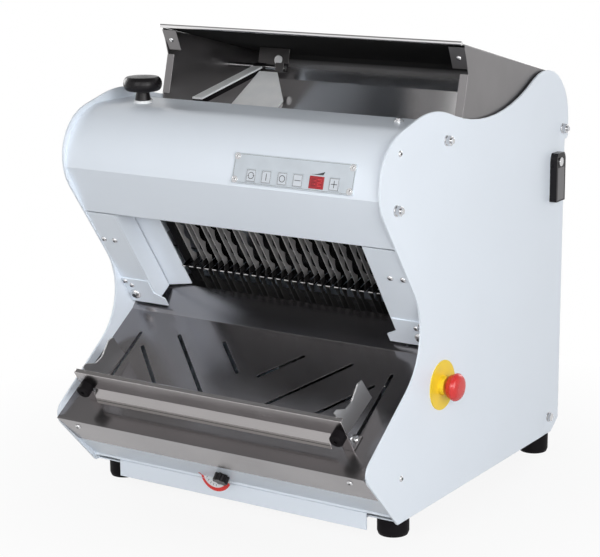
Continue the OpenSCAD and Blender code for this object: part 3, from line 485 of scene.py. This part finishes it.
# Painted highlight: the lighter steel of the strips on the comb's teeth
brushed("edge_steel_painted_highlight", (0.8, 0.79, 0.79), 0.5, ALONG_X, Metallic=0.3)
moulded("black_rubber", (0.006, 0.005, 0.006), 0.6, RUBBER_SKIN, Specular_IOR_Level=0.08)
moulded("black_plastic", (0.008, 0.007, 0.008), 0.3, PLASTIC_SKIN, Specular_IOR_Level=0.2)
moulded("white_plastic", (0.78, 0.79, 0.8), 0.4, PLASTIC_SKIN)
# A lighter copy of the white plastic for the pusher: painted light
moulded("white_plastic_painted_light", (0.9, 0.93, 0.96), 0.4, PLASTIC_SKIN)
moulded("film", (0.56, 0.61, 0.66), 0.5, FILM_SKIN)
moulded("key_film", (0.62, 0.66, 0.71), 0.5, FILM_SKIN)
moulded("display_window", (0.36, 0.012, 0.02), 0.2, WINDOW_SKIN, Coat_Weight=0.1)
moulded("yellow_plastic", (0.86, 0.62, 0.03), 0.4, DISC_SKIN)
moulded("red_plastic", (0.62, 0.03, 0.028), 0.3, BUTTON_SKIN)
printed("label_grey", (0.15, 0.145, 0.15), 0.5)
printed("dark_ink", (0.03, 0.03, 0.035))
printed("red_ink", (0.68, 0.03, 0.025))
printed("white_ink", (0.78, 0.8, 0.82))
# Painted shade: the dark in the screws' sockets and in the loaf stop's fold
printed("socket", (0.02, 0.02, 0.022), 0.6)
printed("segment_off", (0.22, 0.006, 0.012), 0.2)
lit("segment", (0.5, 0.016, 0.024), 0.12)

FINISH = {
    "white_paint": [
        "side_panel_left", "side_panel_right", "base_plate", "rear_cover", "hood", "kick_panel",
        "throat_plates", "inner_walls", "hook_brackets", "crumb_drawer",
    ],
    "grey_paint": ["motor", "bearing_blocks", "con_rod_front", "con_rod_rear"],
    "dark_paint": ["frame_front", "frame_rear"],
    "tray_steel": ["tray"],
    "side_steel": ["lid_sides"],
    "mirror_steel": ["exit_plate"],
    "floor_steel": ["loaf_floor"],
    "lid_steel": ["lid_sheet"],
    "stop_steel": ["stop_bar"],
    "bracket_steel": ["pusher_bracket"],
    "finger_steel": ["stop_fingers"],
    "bright_steel": [
        "tie_rods", "hinge_bolts", "tie_nuts", "stop_nuts", "guide_rods", "crankshaft", "lid_rivets",
        "pusher_rod", "cover_screws",
    ],
    "blade_steel": ["blades_front"],
    "rear_blade_steel_painted_light": ["blades_rear"],
    "black_rubber": ["feet", "stop_bumpers", "pusher_pad", "drive_belt"],
    "black_plastic": [
        "guide_blocks", "crank_pulley", "motor_pulley", "pusher_clamp", "hood_knob", "dial_knob",
        "dial_switch", "lid_sensor",
    ],
    "white_plastic": ["knob_collar"],
    "white_plastic_painted_light": ["pusher_arm", "pusher_plate"],
    "film": ["control_plate"],
    "key_film": ["key_mode", "key_start", "key_stop", "key_minus", "key_plus"],
    "display_window": ["display"],
    "yellow_plastic": ["estop_plate", "estop_collar"],
    "red_plastic": ["estop_button"],
}


def finish_nodes():
    """The material of each piece of the machine."""
    for finish, nodes in FINISH.items():
        for node in nodes:
            slots = frame["nodes"][node].data.materials
            slots.clear()
            slots.append(MATERIALS[finish])


# Flat faces of the machine

NORMAL_DIGITS = 2
PLACE_DIGITS = 4
LOOKS_TOWARDS = 0.5
SQUARE_ON = 0.99


def span(points, axis):
    """The lowest and highest reach of points along an axis."""
    reaches = [point.dot(axis) for point in points]
    return min(reaches), max(reaches)


def flat_face(node, towards, least=LOOKS_TOWARDS):
    """The frame, width and height of a node's largest flat face that looks a given way.

    The frame's X runs level, and its Z stands off the face.
    """
    areas, points = {}, {}
    mesh = frame["nodes"][node].data
    for polygon in mesh.polygons:
        if polygon.normal.dot(towards) > least:
            rounded = tuple(round(c, NORMAL_DIGITS) for c in polygon.normal)
            key = rounded + (round(polygon.center.dot(polygon.normal), PLACE_DIGITS),)
            areas[key] = areas.get(key, 0) + polygon.area
            points.setdefault(key, []).extend(mesh.vertices[k].co for k in polygon.vertices)
    best = max(areas, key=areas.get)
    normal = Vector(best[:3]).normalized()
    level = REAR if abs(normal.x) > LOOKS_TOWARDS else RIGHT
    across = (level - level.dot(normal) * normal).normalized()
    axes = (across, normal.cross(across), normal)
    reaches = [span(points[best], axis) for axis in axes]
    centre = sum(((low + high) / 2 * axis for (low, high), axis in zip(reaches, axes)), Vector())
    wide, tall, _ = (high - low for low, high in reaches)
    return axes_at(centre, *axes), wide, tall


STRIP_FLATNESS = 0.995
STRIP_STEP = 0.2 * MM
STRIP_JOIN = 0.01 * MM


def strips(node, towards):
    """The foremost flat faces that look a given way: their frame, level spans, foot and top."""
    towards = Vector(towards).normalized()
    mesh = frame["nodes"][node].data
    faces = [face for face in mesh.polygons if face.normal.dot(towards) > STRIP_FLATNESS]
    foremost = max(face.center.dot(towards) for face in faces)
    faces = [face for face in faces if foremost - face.center.dot(towards) < STRIP_STEP]
    normal = faces[0].normal.normalized()
    placed = axes_at(faces[0].center, RIGHT, normal.cross(RIGHT), normal)
    flattened = placed.inverted()
    spans, heights = [], []
    for face in faces:
        points = [flattened @ mesh.vertices[k].co for k in face.vertices]
        spans.append(span(points, RIGHT))
        heights += [point.y for point in points]
    merged = []
    for low, high in sorted(spans):
        if merged and low < merged[-1][1] + STRIP_JOIN:
            merged[-1][1] = max(merged[-1][1], high)
        else:
            merged.append([low, high])
    return placed, merged, min(heights), max(heights)


# Outlines of thin pieces

INK = 0.12 * MM
LINE = 0.9 * MM
ARC_STEPS = 24
ROUND = 36
DOT = 12
HEXAGON = 6


def on_circle(radius, angle, centre=(0, 0)):
    """The point of a circle at an angle in degrees."""
    turn = math.radians(angle)
    return centre[0] + radius * math.cos(turn), centre[1] + radius * math.sin(turn)


def arc(radius, start, end, centre=(0, 0), steps=ARC_STEPS):
    """Points of a circle from one angle to another."""
    return [on_circle(radius, start + (end - start) * k / steps, centre) for k in range(steps + 1)]


def regular(radius, corners=ROUND, centre=(0, 0)):
    """The outline of a regular polygon, which is round with many corners."""
    return arc(radius, 0, 360 - 360 / corners, centre, corners - 1)


def band(inner, outer, start, end):
    """The outline of part of a ring."""
    return arc(outer, start, end) + arc(inner, end, start)


def ring(inner, outer):
    """The two halves of a ring."""
    return [band(inner, outer, 0, 180), band(inner, outer, 180, 360)]


def bar(x0, y0, x1, y1):
    """The outline of an upright rectangle."""
    return [(x0, y0), (x1, y0), (x1, y1), (x0, y1)]


def border(wide, tall, line):
    """The four strips of a rectangular border."""
    x, y = wide / 2, tall / 2
    return [
        bar(-x, -y, x, line - y),
        bar(-x, y - line, x, y),
        bar(-x, line - y, line - x, y - line),
        bar(x - line, line - y, x, y - line),
    ]


def cut(outline, low, high):
    """The part of a convex outline between two heights."""
    for limit, side in ((low, 1), (high, -1)):
        kept = []
        for (x0, y0), (x1, y1) in zip(outline, outline[1:] + outline[:1]):
            inside = side * (y0 - limit) >= 0
            if inside:
                kept.append((x0, y0))
            if inside != (side * (y1 - limit) >= 0):
                share = (limit - y0) / (y1 - y0)
                kept.append((x0 + share * (x1 - x0), limit))
        outline = kept
    return outline


def laid(name, outlines, placed, body, finish, low=0.0, high=INK):
    """One piece made of outlines raised off a face, riding on a body."""
    made = bmesh.new()
    for outline in outlines:
        bottom = [made.verts.new((x, y, low)) for x, y in outline]
        top = [made.verts.new((x, y, high)) for x, y in outline]
        made.faces.new(list(reversed(bottom)))
        made.faces.new(top)
        for k, vertex in enumerate(bottom):
            after = (k + 1) % len(bottom)
            made.faces.new((vertex, bottom[after], top[after], top[k]))
    bmesh.ops.recalc_face_normals(made, faces=made.faces)
    mesh = bpy.data.meshes.new(name)
    made.to_mesh(mesh)
    made.free()
    mesh.materials.append(MATERIALS[finish])
    piece = add_object(name, mesh)
    piece.matrix_world = placed
    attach(piece, body)


# Keys, display and control plate

SYMBOL_R = 5 * MM
SYMBOL_ARROW = (20, 160)
KEY_BORDER_SHARE = 0.92
KEY_LAMP_R = 0.5 * MM
KEY_LAMP_SHARES = (-0.3, 0.36)
KEYS_WITH_LAMP = ("mode", "start", "stop")


def key_symbols():
    """The outlines of the five keys' symbols: a turning arrow, strokes, a ring and a cross."""
    half = LINE / 2
    arrow = [
        band(SYMBOL_R - LINE, SYMBOL_R, *SYMBOL_ARROW),
        [(SYMBOL_R + LINE, LINE), (SYMBOL_R - 2 * LINE, LINE), (SYMBOL_R - half, -2 * LINE)],
    ]
    level = bar(-SYMBOL_R, -half, SYMBOL_R, half)
    return {
        "mode": arrow + [[(-x, -y) for x, y in outline] for outline in arrow],
        "start": [bar(-half, -SYMBOL_R, half, SYMBOL_R)],
        "stop": ring(SYMBOL_R - LINE, SYMBOL_R),
        "minus": [level],
        "plus": [level, bar(-half, half, half, SYMBOL_R), bar(-half, -SYMBOL_R, half, -half)],
    }


def key_marks():
    """The printed border and symbol of each key, and the small lamp of some."""
    for key, marks in key_symbols().items():
        node = f"key_{key}"
        placed, wide, tall = flat_face(node, FRONT)
        marks += border(KEY_BORDER_SHARE * wide, KEY_BORDER_SHARE * tall, LINE / 2)
        if key in KEYS_WITH_LAMP:
            spot = (KEY_LAMP_SHARES[0] * wide, KEY_LAMP_SHARES[1] * tall)
            marks.append(regular(KEY_LAMP_R, DOT, spot))
        laid(f"{key}_symbol", marks, placed, BODY_OF[node], "dark_ink")


DIGITS = "12"
LIT_SEGMENTS = {"1": "bc", "2": "abged"}
DIGIT_HALF_SHARE = 0.14
DIGIT_REACH_SHARE = 0.3
DIGIT_LINE_SHARE = 0.09
DIGIT_STEP_SHARE = 0.42
SEGMENT_GAP_SHARE = 1.4


def digit_segments(half, reach, line):
    """The outlines of a digit's seven segments, by their usual letters."""
    end = reach - SEGMENT_GAP_SHARE * line
    return {
        "a": bar(-half, reach - line, half, reach),
        "b": bar(half - line, line, half, end),
        "c": bar(half - line, -end, half, -line),
        "d": bar(-half, -reach, half, line - reach),
        "e": bar(-half, -end, line - half, -line),
        "f": bar(-half, line, line - half, end),
        "g": bar(-half, -line / 2, half, line / 2),
    }


def display_digits():
    """Two seven-segment digits on the red window's face, lit and unlit."""
    placed, wide, tall = flat_face("display", FRONT)
    segments = digit_segments(DIGIT_HALF_SHARE * wide, DIGIT_REACH_SHARE * tall, DIGIT_LINE_SHARE * tall)
    for k, digit in enumerate(DIGITS):
        shift = (k - (len(DIGITS) - 1) / 2) * DIGIT_STEP_SHARE * wide
        for state, finish in ((True, "segment"), (False, "segment_off")):
            shown = [
                [(x + shift, y) for x, y in outline]
                for letter, outline in segments.items() if (letter in LIT_SEGMENTS[digit]) == state
            ]
            laid(f"display_{k + 1}_{finish}", shown, placed, BODY_OF["display"], finish)


PLATE_BORDER_SHARES = (0.985, 0.93)
PLATE_LINE = 0.4 * LINE
WEDGE_FOOT_SHARE = 0.62
WEDGE_RISE_SHARE = 0.28
WEDGE_CURVE_SHARES = (0, 0.25, 0.5, 0.75, 1)
WEDGE_END_SHARE = 0.9
WEDGE_SAG_SHARES = (0.4, 0.02)


def plate_marks():
    """The control plate's border line, and the wedge over the display that stands for speed."""
    placed, wide, tall = flat_face("control_plate", FRONT)
    lines = border(PLATE_BORDER_SHARES[0] * wide, PLATE_BORDER_SHARES[1] * tall, PLATE_LINE)
    laid("plate_border", lines, placed, "casing", "dark_ink")
    window, wide, tall = flat_face("display", FRONT)
    spot = placed.inverted() @ window.translation
    left = spot.x - wide / 2
    foot = spot.y + WEDGE_FOOT_SHARE * tall
    wedge = [(left + t * wide, foot + WEDGE_RISE_SHARE * tall * t * t) for t in WEDGE_CURVE_SHARES]
    wedge.append((left + WEDGE_END_SHARE * wide, foot))
    wedge.append((left + WEDGE_SAG_SHARES[0] * wide, foot - WEDGE_SAG_SHARES[1] * tall))
    laid("speed_wedge", [wedge], placed, "casing", "dark_ink")


# Scale of the small dial

SCALE_R = 30 * MM
SCALE_UP = 9 * MM
SCALE_LEFT = 23 * MM
SCALE_START = 180
SCALE_STEP = 6
GROUND_END = 360
GROUND_INSET = 2 * MM
RED_END = 330
RED_WIDTH = 3.5 * MM
RED_GROWTH = 3.5 * MM
TICK_END = 285
TICK_STEP = 15
TICK_HALF = 1
TICK_SHARES = (0.62, 0.74)
KICK_SLOPE = Vector((0, -0.65, -0.76))
FEWEST_CORNERS = 3


def red_inner(angle):
    """The inner radius of the scale's red band, which grows wider round the dial."""
    return SCALE_R - RED_WIDTH - RED_GROWTH * (angle - SCALE_START) / (RED_END - SCALE_START)


def scale_layers():
    """The scale's white ground, red band and ticks about its centre: finish, layer and outlines."""
    ground = [
        [(0, 0)] + arc(SCALE_R - GROUND_INSET, a, a + SCALE_STEP, steps=1)
        for a in range(SCALE_START, GROUND_END, SCALE_STEP)
    ]
    red = [
        arc(SCALE_R, a, a + SCALE_STEP, steps=1) + [on_circle(red_inner(t), t) for t in (a + SCALE_STEP, a)]
        for a in range(SCALE_START, RED_END, SCALE_STEP)
    ]
    ticks = [
        band(TICK_SHARES[0] * SCALE_R, TICK_SHARES[1] * SCALE_R, a - TICK_HALF, a + TICK_HALF)
        for a in range(SCALE_START + TICK_STEP, TICK_END, TICK_STEP)
    ]
    return (("white_ink", 0, ground), ("red_ink", 1, red), ("dark_ink", 1, ticks))


def dial_scale():
    """The half-round scale behind the dial, over the kick panel's slope, its lip and the drawer."""
    slope, _, slope_tall = flat_face("kick_panel", KICK_SLOPE, SQUARE_ON)
    lip, _, lip_tall = flat_face("kick_panel", FRONT, SQUARE_ON)
    drawer, _, drawer_tall = flat_face("crumb_drawer", FRONT, SQUARE_ON)
    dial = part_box("dial_knob")
    across = (dial[0].x + dial[1].x) / 2 - SCALE_LEFT
    lip_foot = lip.translation.z - lip_tall / 2
    low = lip_foot - (slope @ Vector((0, -slope_tall / 2, 0))).z
    gap = lip_foot - drawer.translation.z - drawer_tall / 2
    for name, face, zero, bottom, top, body in (
        ("slope", slope, -slope_tall / 2, 0, SCALE_UP, "casing"),
        ("lip", lip, lip_tall / 2, low, 0, "casing"),
        ("drawer", drawer, drawer_tall / 2 + gap - low, -SCALE_R, low - gap, BODY_OF["crumb_drawer"]),
    ):
        placed = face.copy()
        placed.translation = face @ Vector((0, zero, 0))
        placed.translation.x = across
        for finish, layer, outlines in scale_layers():
            raised = [[(x, y + SCALE_UP) for x, y in outline] for outline in outlines]
            parts = [cut(outline, bottom, top) for outline in raised]
            parts = [part for part in parts if len(part) >= FEWEST_CORNERS]
            foot = layer * INK / 2
            if parts:
                laid(f"scale_{name}_{finish}", parts, placed, body, finish, foot, foot + INK / 2)


# Edges of sheets

COMB_FACE = (0, -0.95, -0.3)
COMB_INSET = 1.5 * MM
TAB_FACE = (0, -0.92, -0.4)
TAB_INSET = 0.5 * MM
HEM_FACE = (0, -0.922, -0.386)
HEM_INSET = 0.5 * MM
HEM_LIP = 1.2 * MM
# Painted shade in the stop's fold: its foot and top as shares of the hem's height, and its layer
FOLD_SHARES = (0.5, 0.63)
FOLD_LAYER = (0.5 * INK, 1.2 * INK)


def edge_strips(name, node, towards, inset, finish, lip=0):
    """A thin strip on each foremost face of a node, set in from the ends and the top."""
    placed, spans, low, high = strips(node, towards)
    spans = [(start + inset, end - inset) for start, end in spans]
    laid(name, [bar(start, low, end, high - lip) for start, end in spans], placed, BODY_OF[node], finish)
    return placed, spans, low, high


def sheet_edges():
    """A painted highlight on the comb's teeth, paler tabs at the lid's front, and painted light on the loaf
    stop's folded hem with a line of painted shade in its fold.
    """
    # Painted highlight on the fronts of the comb's teeth
    edge_strips("comb_edge_painted_highlight", "loaf_floor", COMB_FACE, COMB_INSET, "edge_steel_painted_highlight")
    edge_strips("lid_tab", "lid_sides", TAB_FACE, TAB_INSET, "finger_steel")
    # Painted light on the loaf stop's hem
    placed, spans, low, high = edge_strips("stop_hem_painted_light", "stop_bar", HEM_FACE, HEM_INSET, "hem_steel_painted_light", HEM_LIP)
    # A line of painted shade in the hem's fold
    foot, top = (low + share * (high - low) for share in FOLD_SHARES)
    folds = [bar(start, foot, end, top) for start, end in spans]
    laid("stop_fold_painted_shade", folds, placed, BODY_OF["stop_bar"], "socket", *FOLD_LAYER)


# Screws of the casing

WELD = 0.002 * MM
ORDER_DIGITS = 4
SCREWED_PLATES = ("control_plate", "throat_plates", "tray")
SCREWED_FACE = Vector((0, -0.8, -0.3))
SCREWED_LEAST = 0.3


def lowest_corner(points):
    """The lowest corner of the box round some points, rounded."""
    return [round(min(point[axis] for point in points), ORDER_DIGITS) for axis in range(3)]


def islands(node):
    """The points of each separate solid of a node, from left to right, front to back and bottom to top."""
    made = bmesh.new()
    made.from_mesh(frame["nodes"][node].data)
    bmesh.ops.remove_doubles(made, verts=made.verts, dist=WELD)
    made.verts.index_update()
    seen, found = set(), []
    for start in made.verts:
        edge = [] if start.index in seen else [start]
        group = []
        while edge:
            vertex = edge.pop()
            if vertex.index not in seen:
                seen.add(vertex.index)
                group.append(vertex.co.copy())
                edge += [link.other_vert(vertex) for link in vertex.link_edges]
        if group:
            found.append(group)
    made.free()
    return sorted(found, key=lowest_corner)


def normal_of(placed):
    """The direction in which a frame's Z points."""
    return placed.col[2].to_3d()


def screw_fit(points, way):
    """A screw taken as pointing one way: how far it is from round, its crown's rise, frame and width."""
    side = way.orthogonal().normalized()
    other = way.cross(side)
    (a0, a1), (b0, b1), (low, high) = (span(points, axis) for axis in (side, other, way))
    middle = sum(points, Vector()) / len(points)
    skew = abs((a1 - a0) - (b1 - b0))
    skew += abs(2 * middle.dot(side) - a0 - a1) + abs(2 * middle.dot(other) - b0 - b1)
    rise = middle.dot(way) - (low + high) / 2
    spot = (a0 + a1) / 2 * side + (b0 + b1) / 2 * other + high * way
    return skew, rise, axes_at(spot, side, other, way), a1 - a0


def find_screws():
    """The frame and width of each screw's crown, which is on its outer side."""
    plates = [flat_face(node, SCREWED_FACE, SCREWED_LEAST)[0] for node in SCREWED_PLATES]
    ways = [RIGHT, LEFT, UP] + [normal_of(plate) for plate in plates]
    screws = []
    for points in islands("cover_screws"):
        fits = [screw_fit(points, way) for way in ways]
        _, _, placed, wide = min((fit for fit in fits if fit[1] > 0), key=lambda fit: fit[0])
        screws.append((placed, wide))
    return screws


SAME_WAY = 0.9
SOCKET_SHARE = 0.22
SOCKET_DEPTH_SHARE = 0.02
PLATE_SCREW_PROUD = 4 * MM
PLATE_WASHER_HOLE_SHARE = 0.45
PLATE_WASHER_R = 5 * MM
PLATE_WASHER_H = 0.5 * MM

# Radius and top of each step of the bolt on the hood
HOOD_BOLT_STEPS = ((7 * MM, 1.2 * MM), (5.6 * MM, 3 * MM), (4.6 * MM, 4 * MM), (3 * MM, 4.6 * MM))

CORNER_WASHER_R = 8 * MM
CORNER_WASHER_H = 1.4 * MM
CORNER_NUT_R = 7.2 * MM
CORNER_NUT_TOP = 6.5 * MM
SAME_CORNER = 1 * MM


def plate_washer(number, placed, wide, proud):
    """The washer round a screw of the control plate."""
    washer = ring(PLATE_WASHER_HOLE_SHARE * wide, PLATE_WASHER_R)
    laid(f"plate_washer_{number}", washer, placed, "casing", "bright_steel", -proud, PLATE_WASHER_H - proud)


def hood_bolt(placed):
    """The stepped bolt on top of the hood."""
    base = placed.translation.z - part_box("hood")[1].z
    low = 0
    for step, (radius, high) in enumerate(HOOD_BOLT_STEPS, 1):
        disc = regular(radius)
        laid(f"hood_bolt_{step}", [disc], placed, "casing", "bright_steel", low - base, high - base)
        low = high


def corner_nut(number, placed):
    """The washer and nut at a lower rear corner of a side panel."""
    x = placed.translation.x
    foot = max(x - PANEL_RIGHT[1].x, PANEL_LEFT[0].x - x)
    for name, outline, low, high in (
        ("washer", regular(CORNER_WASHER_R), 0, CORNER_WASHER_H),
        ("nut", regular(CORNER_NUT_R, HEXAGON), CORNER_WASHER_H, CORNER_NUT_TOP),
    ):
        laid(f"corner_{name}_{number}", [outline], placed, "casing", "bright_steel", low - foot, high - foot)


def screw_details():
    """A dark socket of painted shade in each screw's crown, and the washers, bolt and nuts that some of them
    carry.
    """
    screws = find_screws()
    plate = flat_face("control_plate", FRONT)[0]
    rear_low = max(placed.translation.y - placed.translation.z for placed, _ in screws)
    for k, (placed, wide) in enumerate(screws, 1):
        number = f"{k:02d}"
        spot, way = placed.translation, normal_of(placed)
        # The socket is a dark hexagon of painted shade that stands for the recess
        socket = regular(SOCKET_SHARE * wide, HEXAGON)
        depth = SOCKET_DEPTH_SHARE * wide
        laid(f"screw_socket_{number}", [socket], placed, "casing", "socket", -depth, INK)
        proud = (plate.inverted() @ spot).z
        if 0 < proud < PLATE_SCREW_PROUD and way.dot(normal_of(plate)) > SAME_WAY:
            plate_washer(number, placed, wide, proud)
        if way.z > SAME_WAY:
            hood_bolt(placed)
        if rear_low - (spot.y - spot.z) < SAME_CORNER:
            corner_nut(number, placed)


# Lid sensor and pusher

SENSOR_LABEL_SHARES = (-0.36, -0.47, 0.36, 0.2)
SENSOR_DOME_SHARE = 0.22
SENSOR_DOME_SPOT_SHARES = (-0.1, 0.32)
SENSOR_DOME_H = 2 * MM


def sensor_face():
    """The sensor's grey label and the bright dome above it."""
    placed, wide, tall = flat_face("lid_sensor", RIGHT, SQUARE_ON)
    label = bar(*(share * size for share, size in zip(SENSOR_LABEL_SHARES, (wide, tall, wide, tall))))
    laid("sensor_label", [label], placed, "casing", "label_grey")
    spot = (SENSOR_DOME_SPOT_SHARES[0] * wide, SENSOR_DOME_SPOT_SHARES[1] * tall)
    dome = regular(SENSOR_DOME_SHARE * wide, centre=spot)
    laid("sensor_dome", [dome], placed, "casing", "bright_steel", 0, SENSOR_DOME_H)


BUSH_R = 7.8 * MM
BUSH_LAYER = (-1.5 * MM, 0.4 * MM)


def bracket_bush():
    """The pale bush in the hole of the pusher's bracket."""
    placed, _, _ = flat_face("pusher_bracket", FRONT)
    placed.translation.x = (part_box("pusher_arm")[1].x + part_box("pusher_bracket")[1].x) / 2
    laid("bracket_bush", [regular(BUSH_R)], placed, BODY_OF["pusher_bracket"], "white_plastic", *BUSH_LAYER)


# Floor and light

FLOOR_REACH = 30
FLOOR_COLOUR = (0.44, 0.44, 0.44, 1)
FLOOR_ROUGHNESS = 0.9
FLOOR_WHITE_SHARES = (0.9, 1)
FLOOR_WHITE_DISTANCES = (0.3, 0.8)


def make_stage():
    """A pale floor that keeps the shadow near the machine and runs into white further off."""
    mesh = bpy.data.meshes.new("floor")
    corners = [(x, y, 0) for x, y in bar(-FLOOR_REACH, -FLOOR_REACH, FLOOR_REACH, FLOOR_REACH)]
    mesh.from_pydata(corners, [], [range(len(corners))])
    floor = add_object("floor", mesh)
    s = Shader("floor", Base_Color=FLOOR_COLOUR, Roughness=FLOOR_ROUGHNESS, Specular_IOR_Level=0.0)
    distance = s.add("ShaderNodeVectorMath", s.coords, settings={"operation": "LENGTH"}).outputs["Value"]
    whiteness = s.spread(distance, FLOOR_WHITE_SHARES, FLOOR_WHITE_DISTANCES)
    share = s.compute("MULTIPLY", whiteness, s.seen_rays())
    white = s.add("ShaderNodeEmission", Color=PURE_WHITE, Strength=1.0)
    blend = s.add("ShaderNodeMixShader", share, s.shader.outputs[0], white.outputs[0])
    s.feed(s.tree.nodes["Material Output"].inputs["Surface"], blend.outputs[0])
    mesh.materials.append(s.material)


AMBIENT = 0.3
CEILING = 0.3
CEILING_HEIGHTS = (0.35, 0.8)


def make_world():
    """White behind the machine, with an even soft light from all round and a dimmer ceiling."""
    world = bpy.data.worlds.new("studio")
    world.use_nodes = True
    bpy.context.scene.world = world
    sky = Nodes(world.node_tree, "Generated")
    height = sky.add("ShaderNodeSeparateXYZ", Vector=sky.coords).outputs["Z"]
    level = sky.spread(sky.seen_rays(), (AMBIENT, 1), WHOLE_RANGE)
    strength = sky.compute("MULTIPLY", level, sky.spread(height, (1, CEILING), CEILING_HEIGHTS))
    sky.feed_named(sky.tree.nodes["Background"], {"Color": PURE_WHITE, "Strength": strength})


LAMP_AIM = Vector((0, 0, 0.35))
LARGE, SMALL = 1.6, 0.8

# Place, size and watts of each lamp
LAMPS = {
    "right_light": ((2.56, -1.36, 1.13), LARGE, 47),
    "front_light": ((0.1, -2.8, 1.38), LARGE, 22),
    "camera_light": ((1.65, -2.4, 1.2), SMALL, 18),
    "left_light": ((-2.9, 0.4, 1.2), LARGE, 45),
    "back_light": ((0.4, 3.0, 1.3), LARGE, 34),
}


def make_lamps():
    """Soft square lamps round the machine."""
    for name, (place, size, watts) in LAMPS.items():
        data = bpy.data.lights.new(name, "AREA")
        data.size = size
        data.energy = watts
        lamp = add_object(name, data)
        lamp.location = place
        lamp.rotation_euler = (LAMP_AIM - Vector(place)).to_track_quat("-Z", "Y").to_euler()


make_camera()
finish_nodes()
key_marks()
display_digits()
plate_marks()
dial_scale()
sheet_edges()
screw_details()
sensor_face()
bracket_bush()
make_stage()
make_world()
make_lamps()
bpy.context.scene.view_settings.view_transform = "Standard"
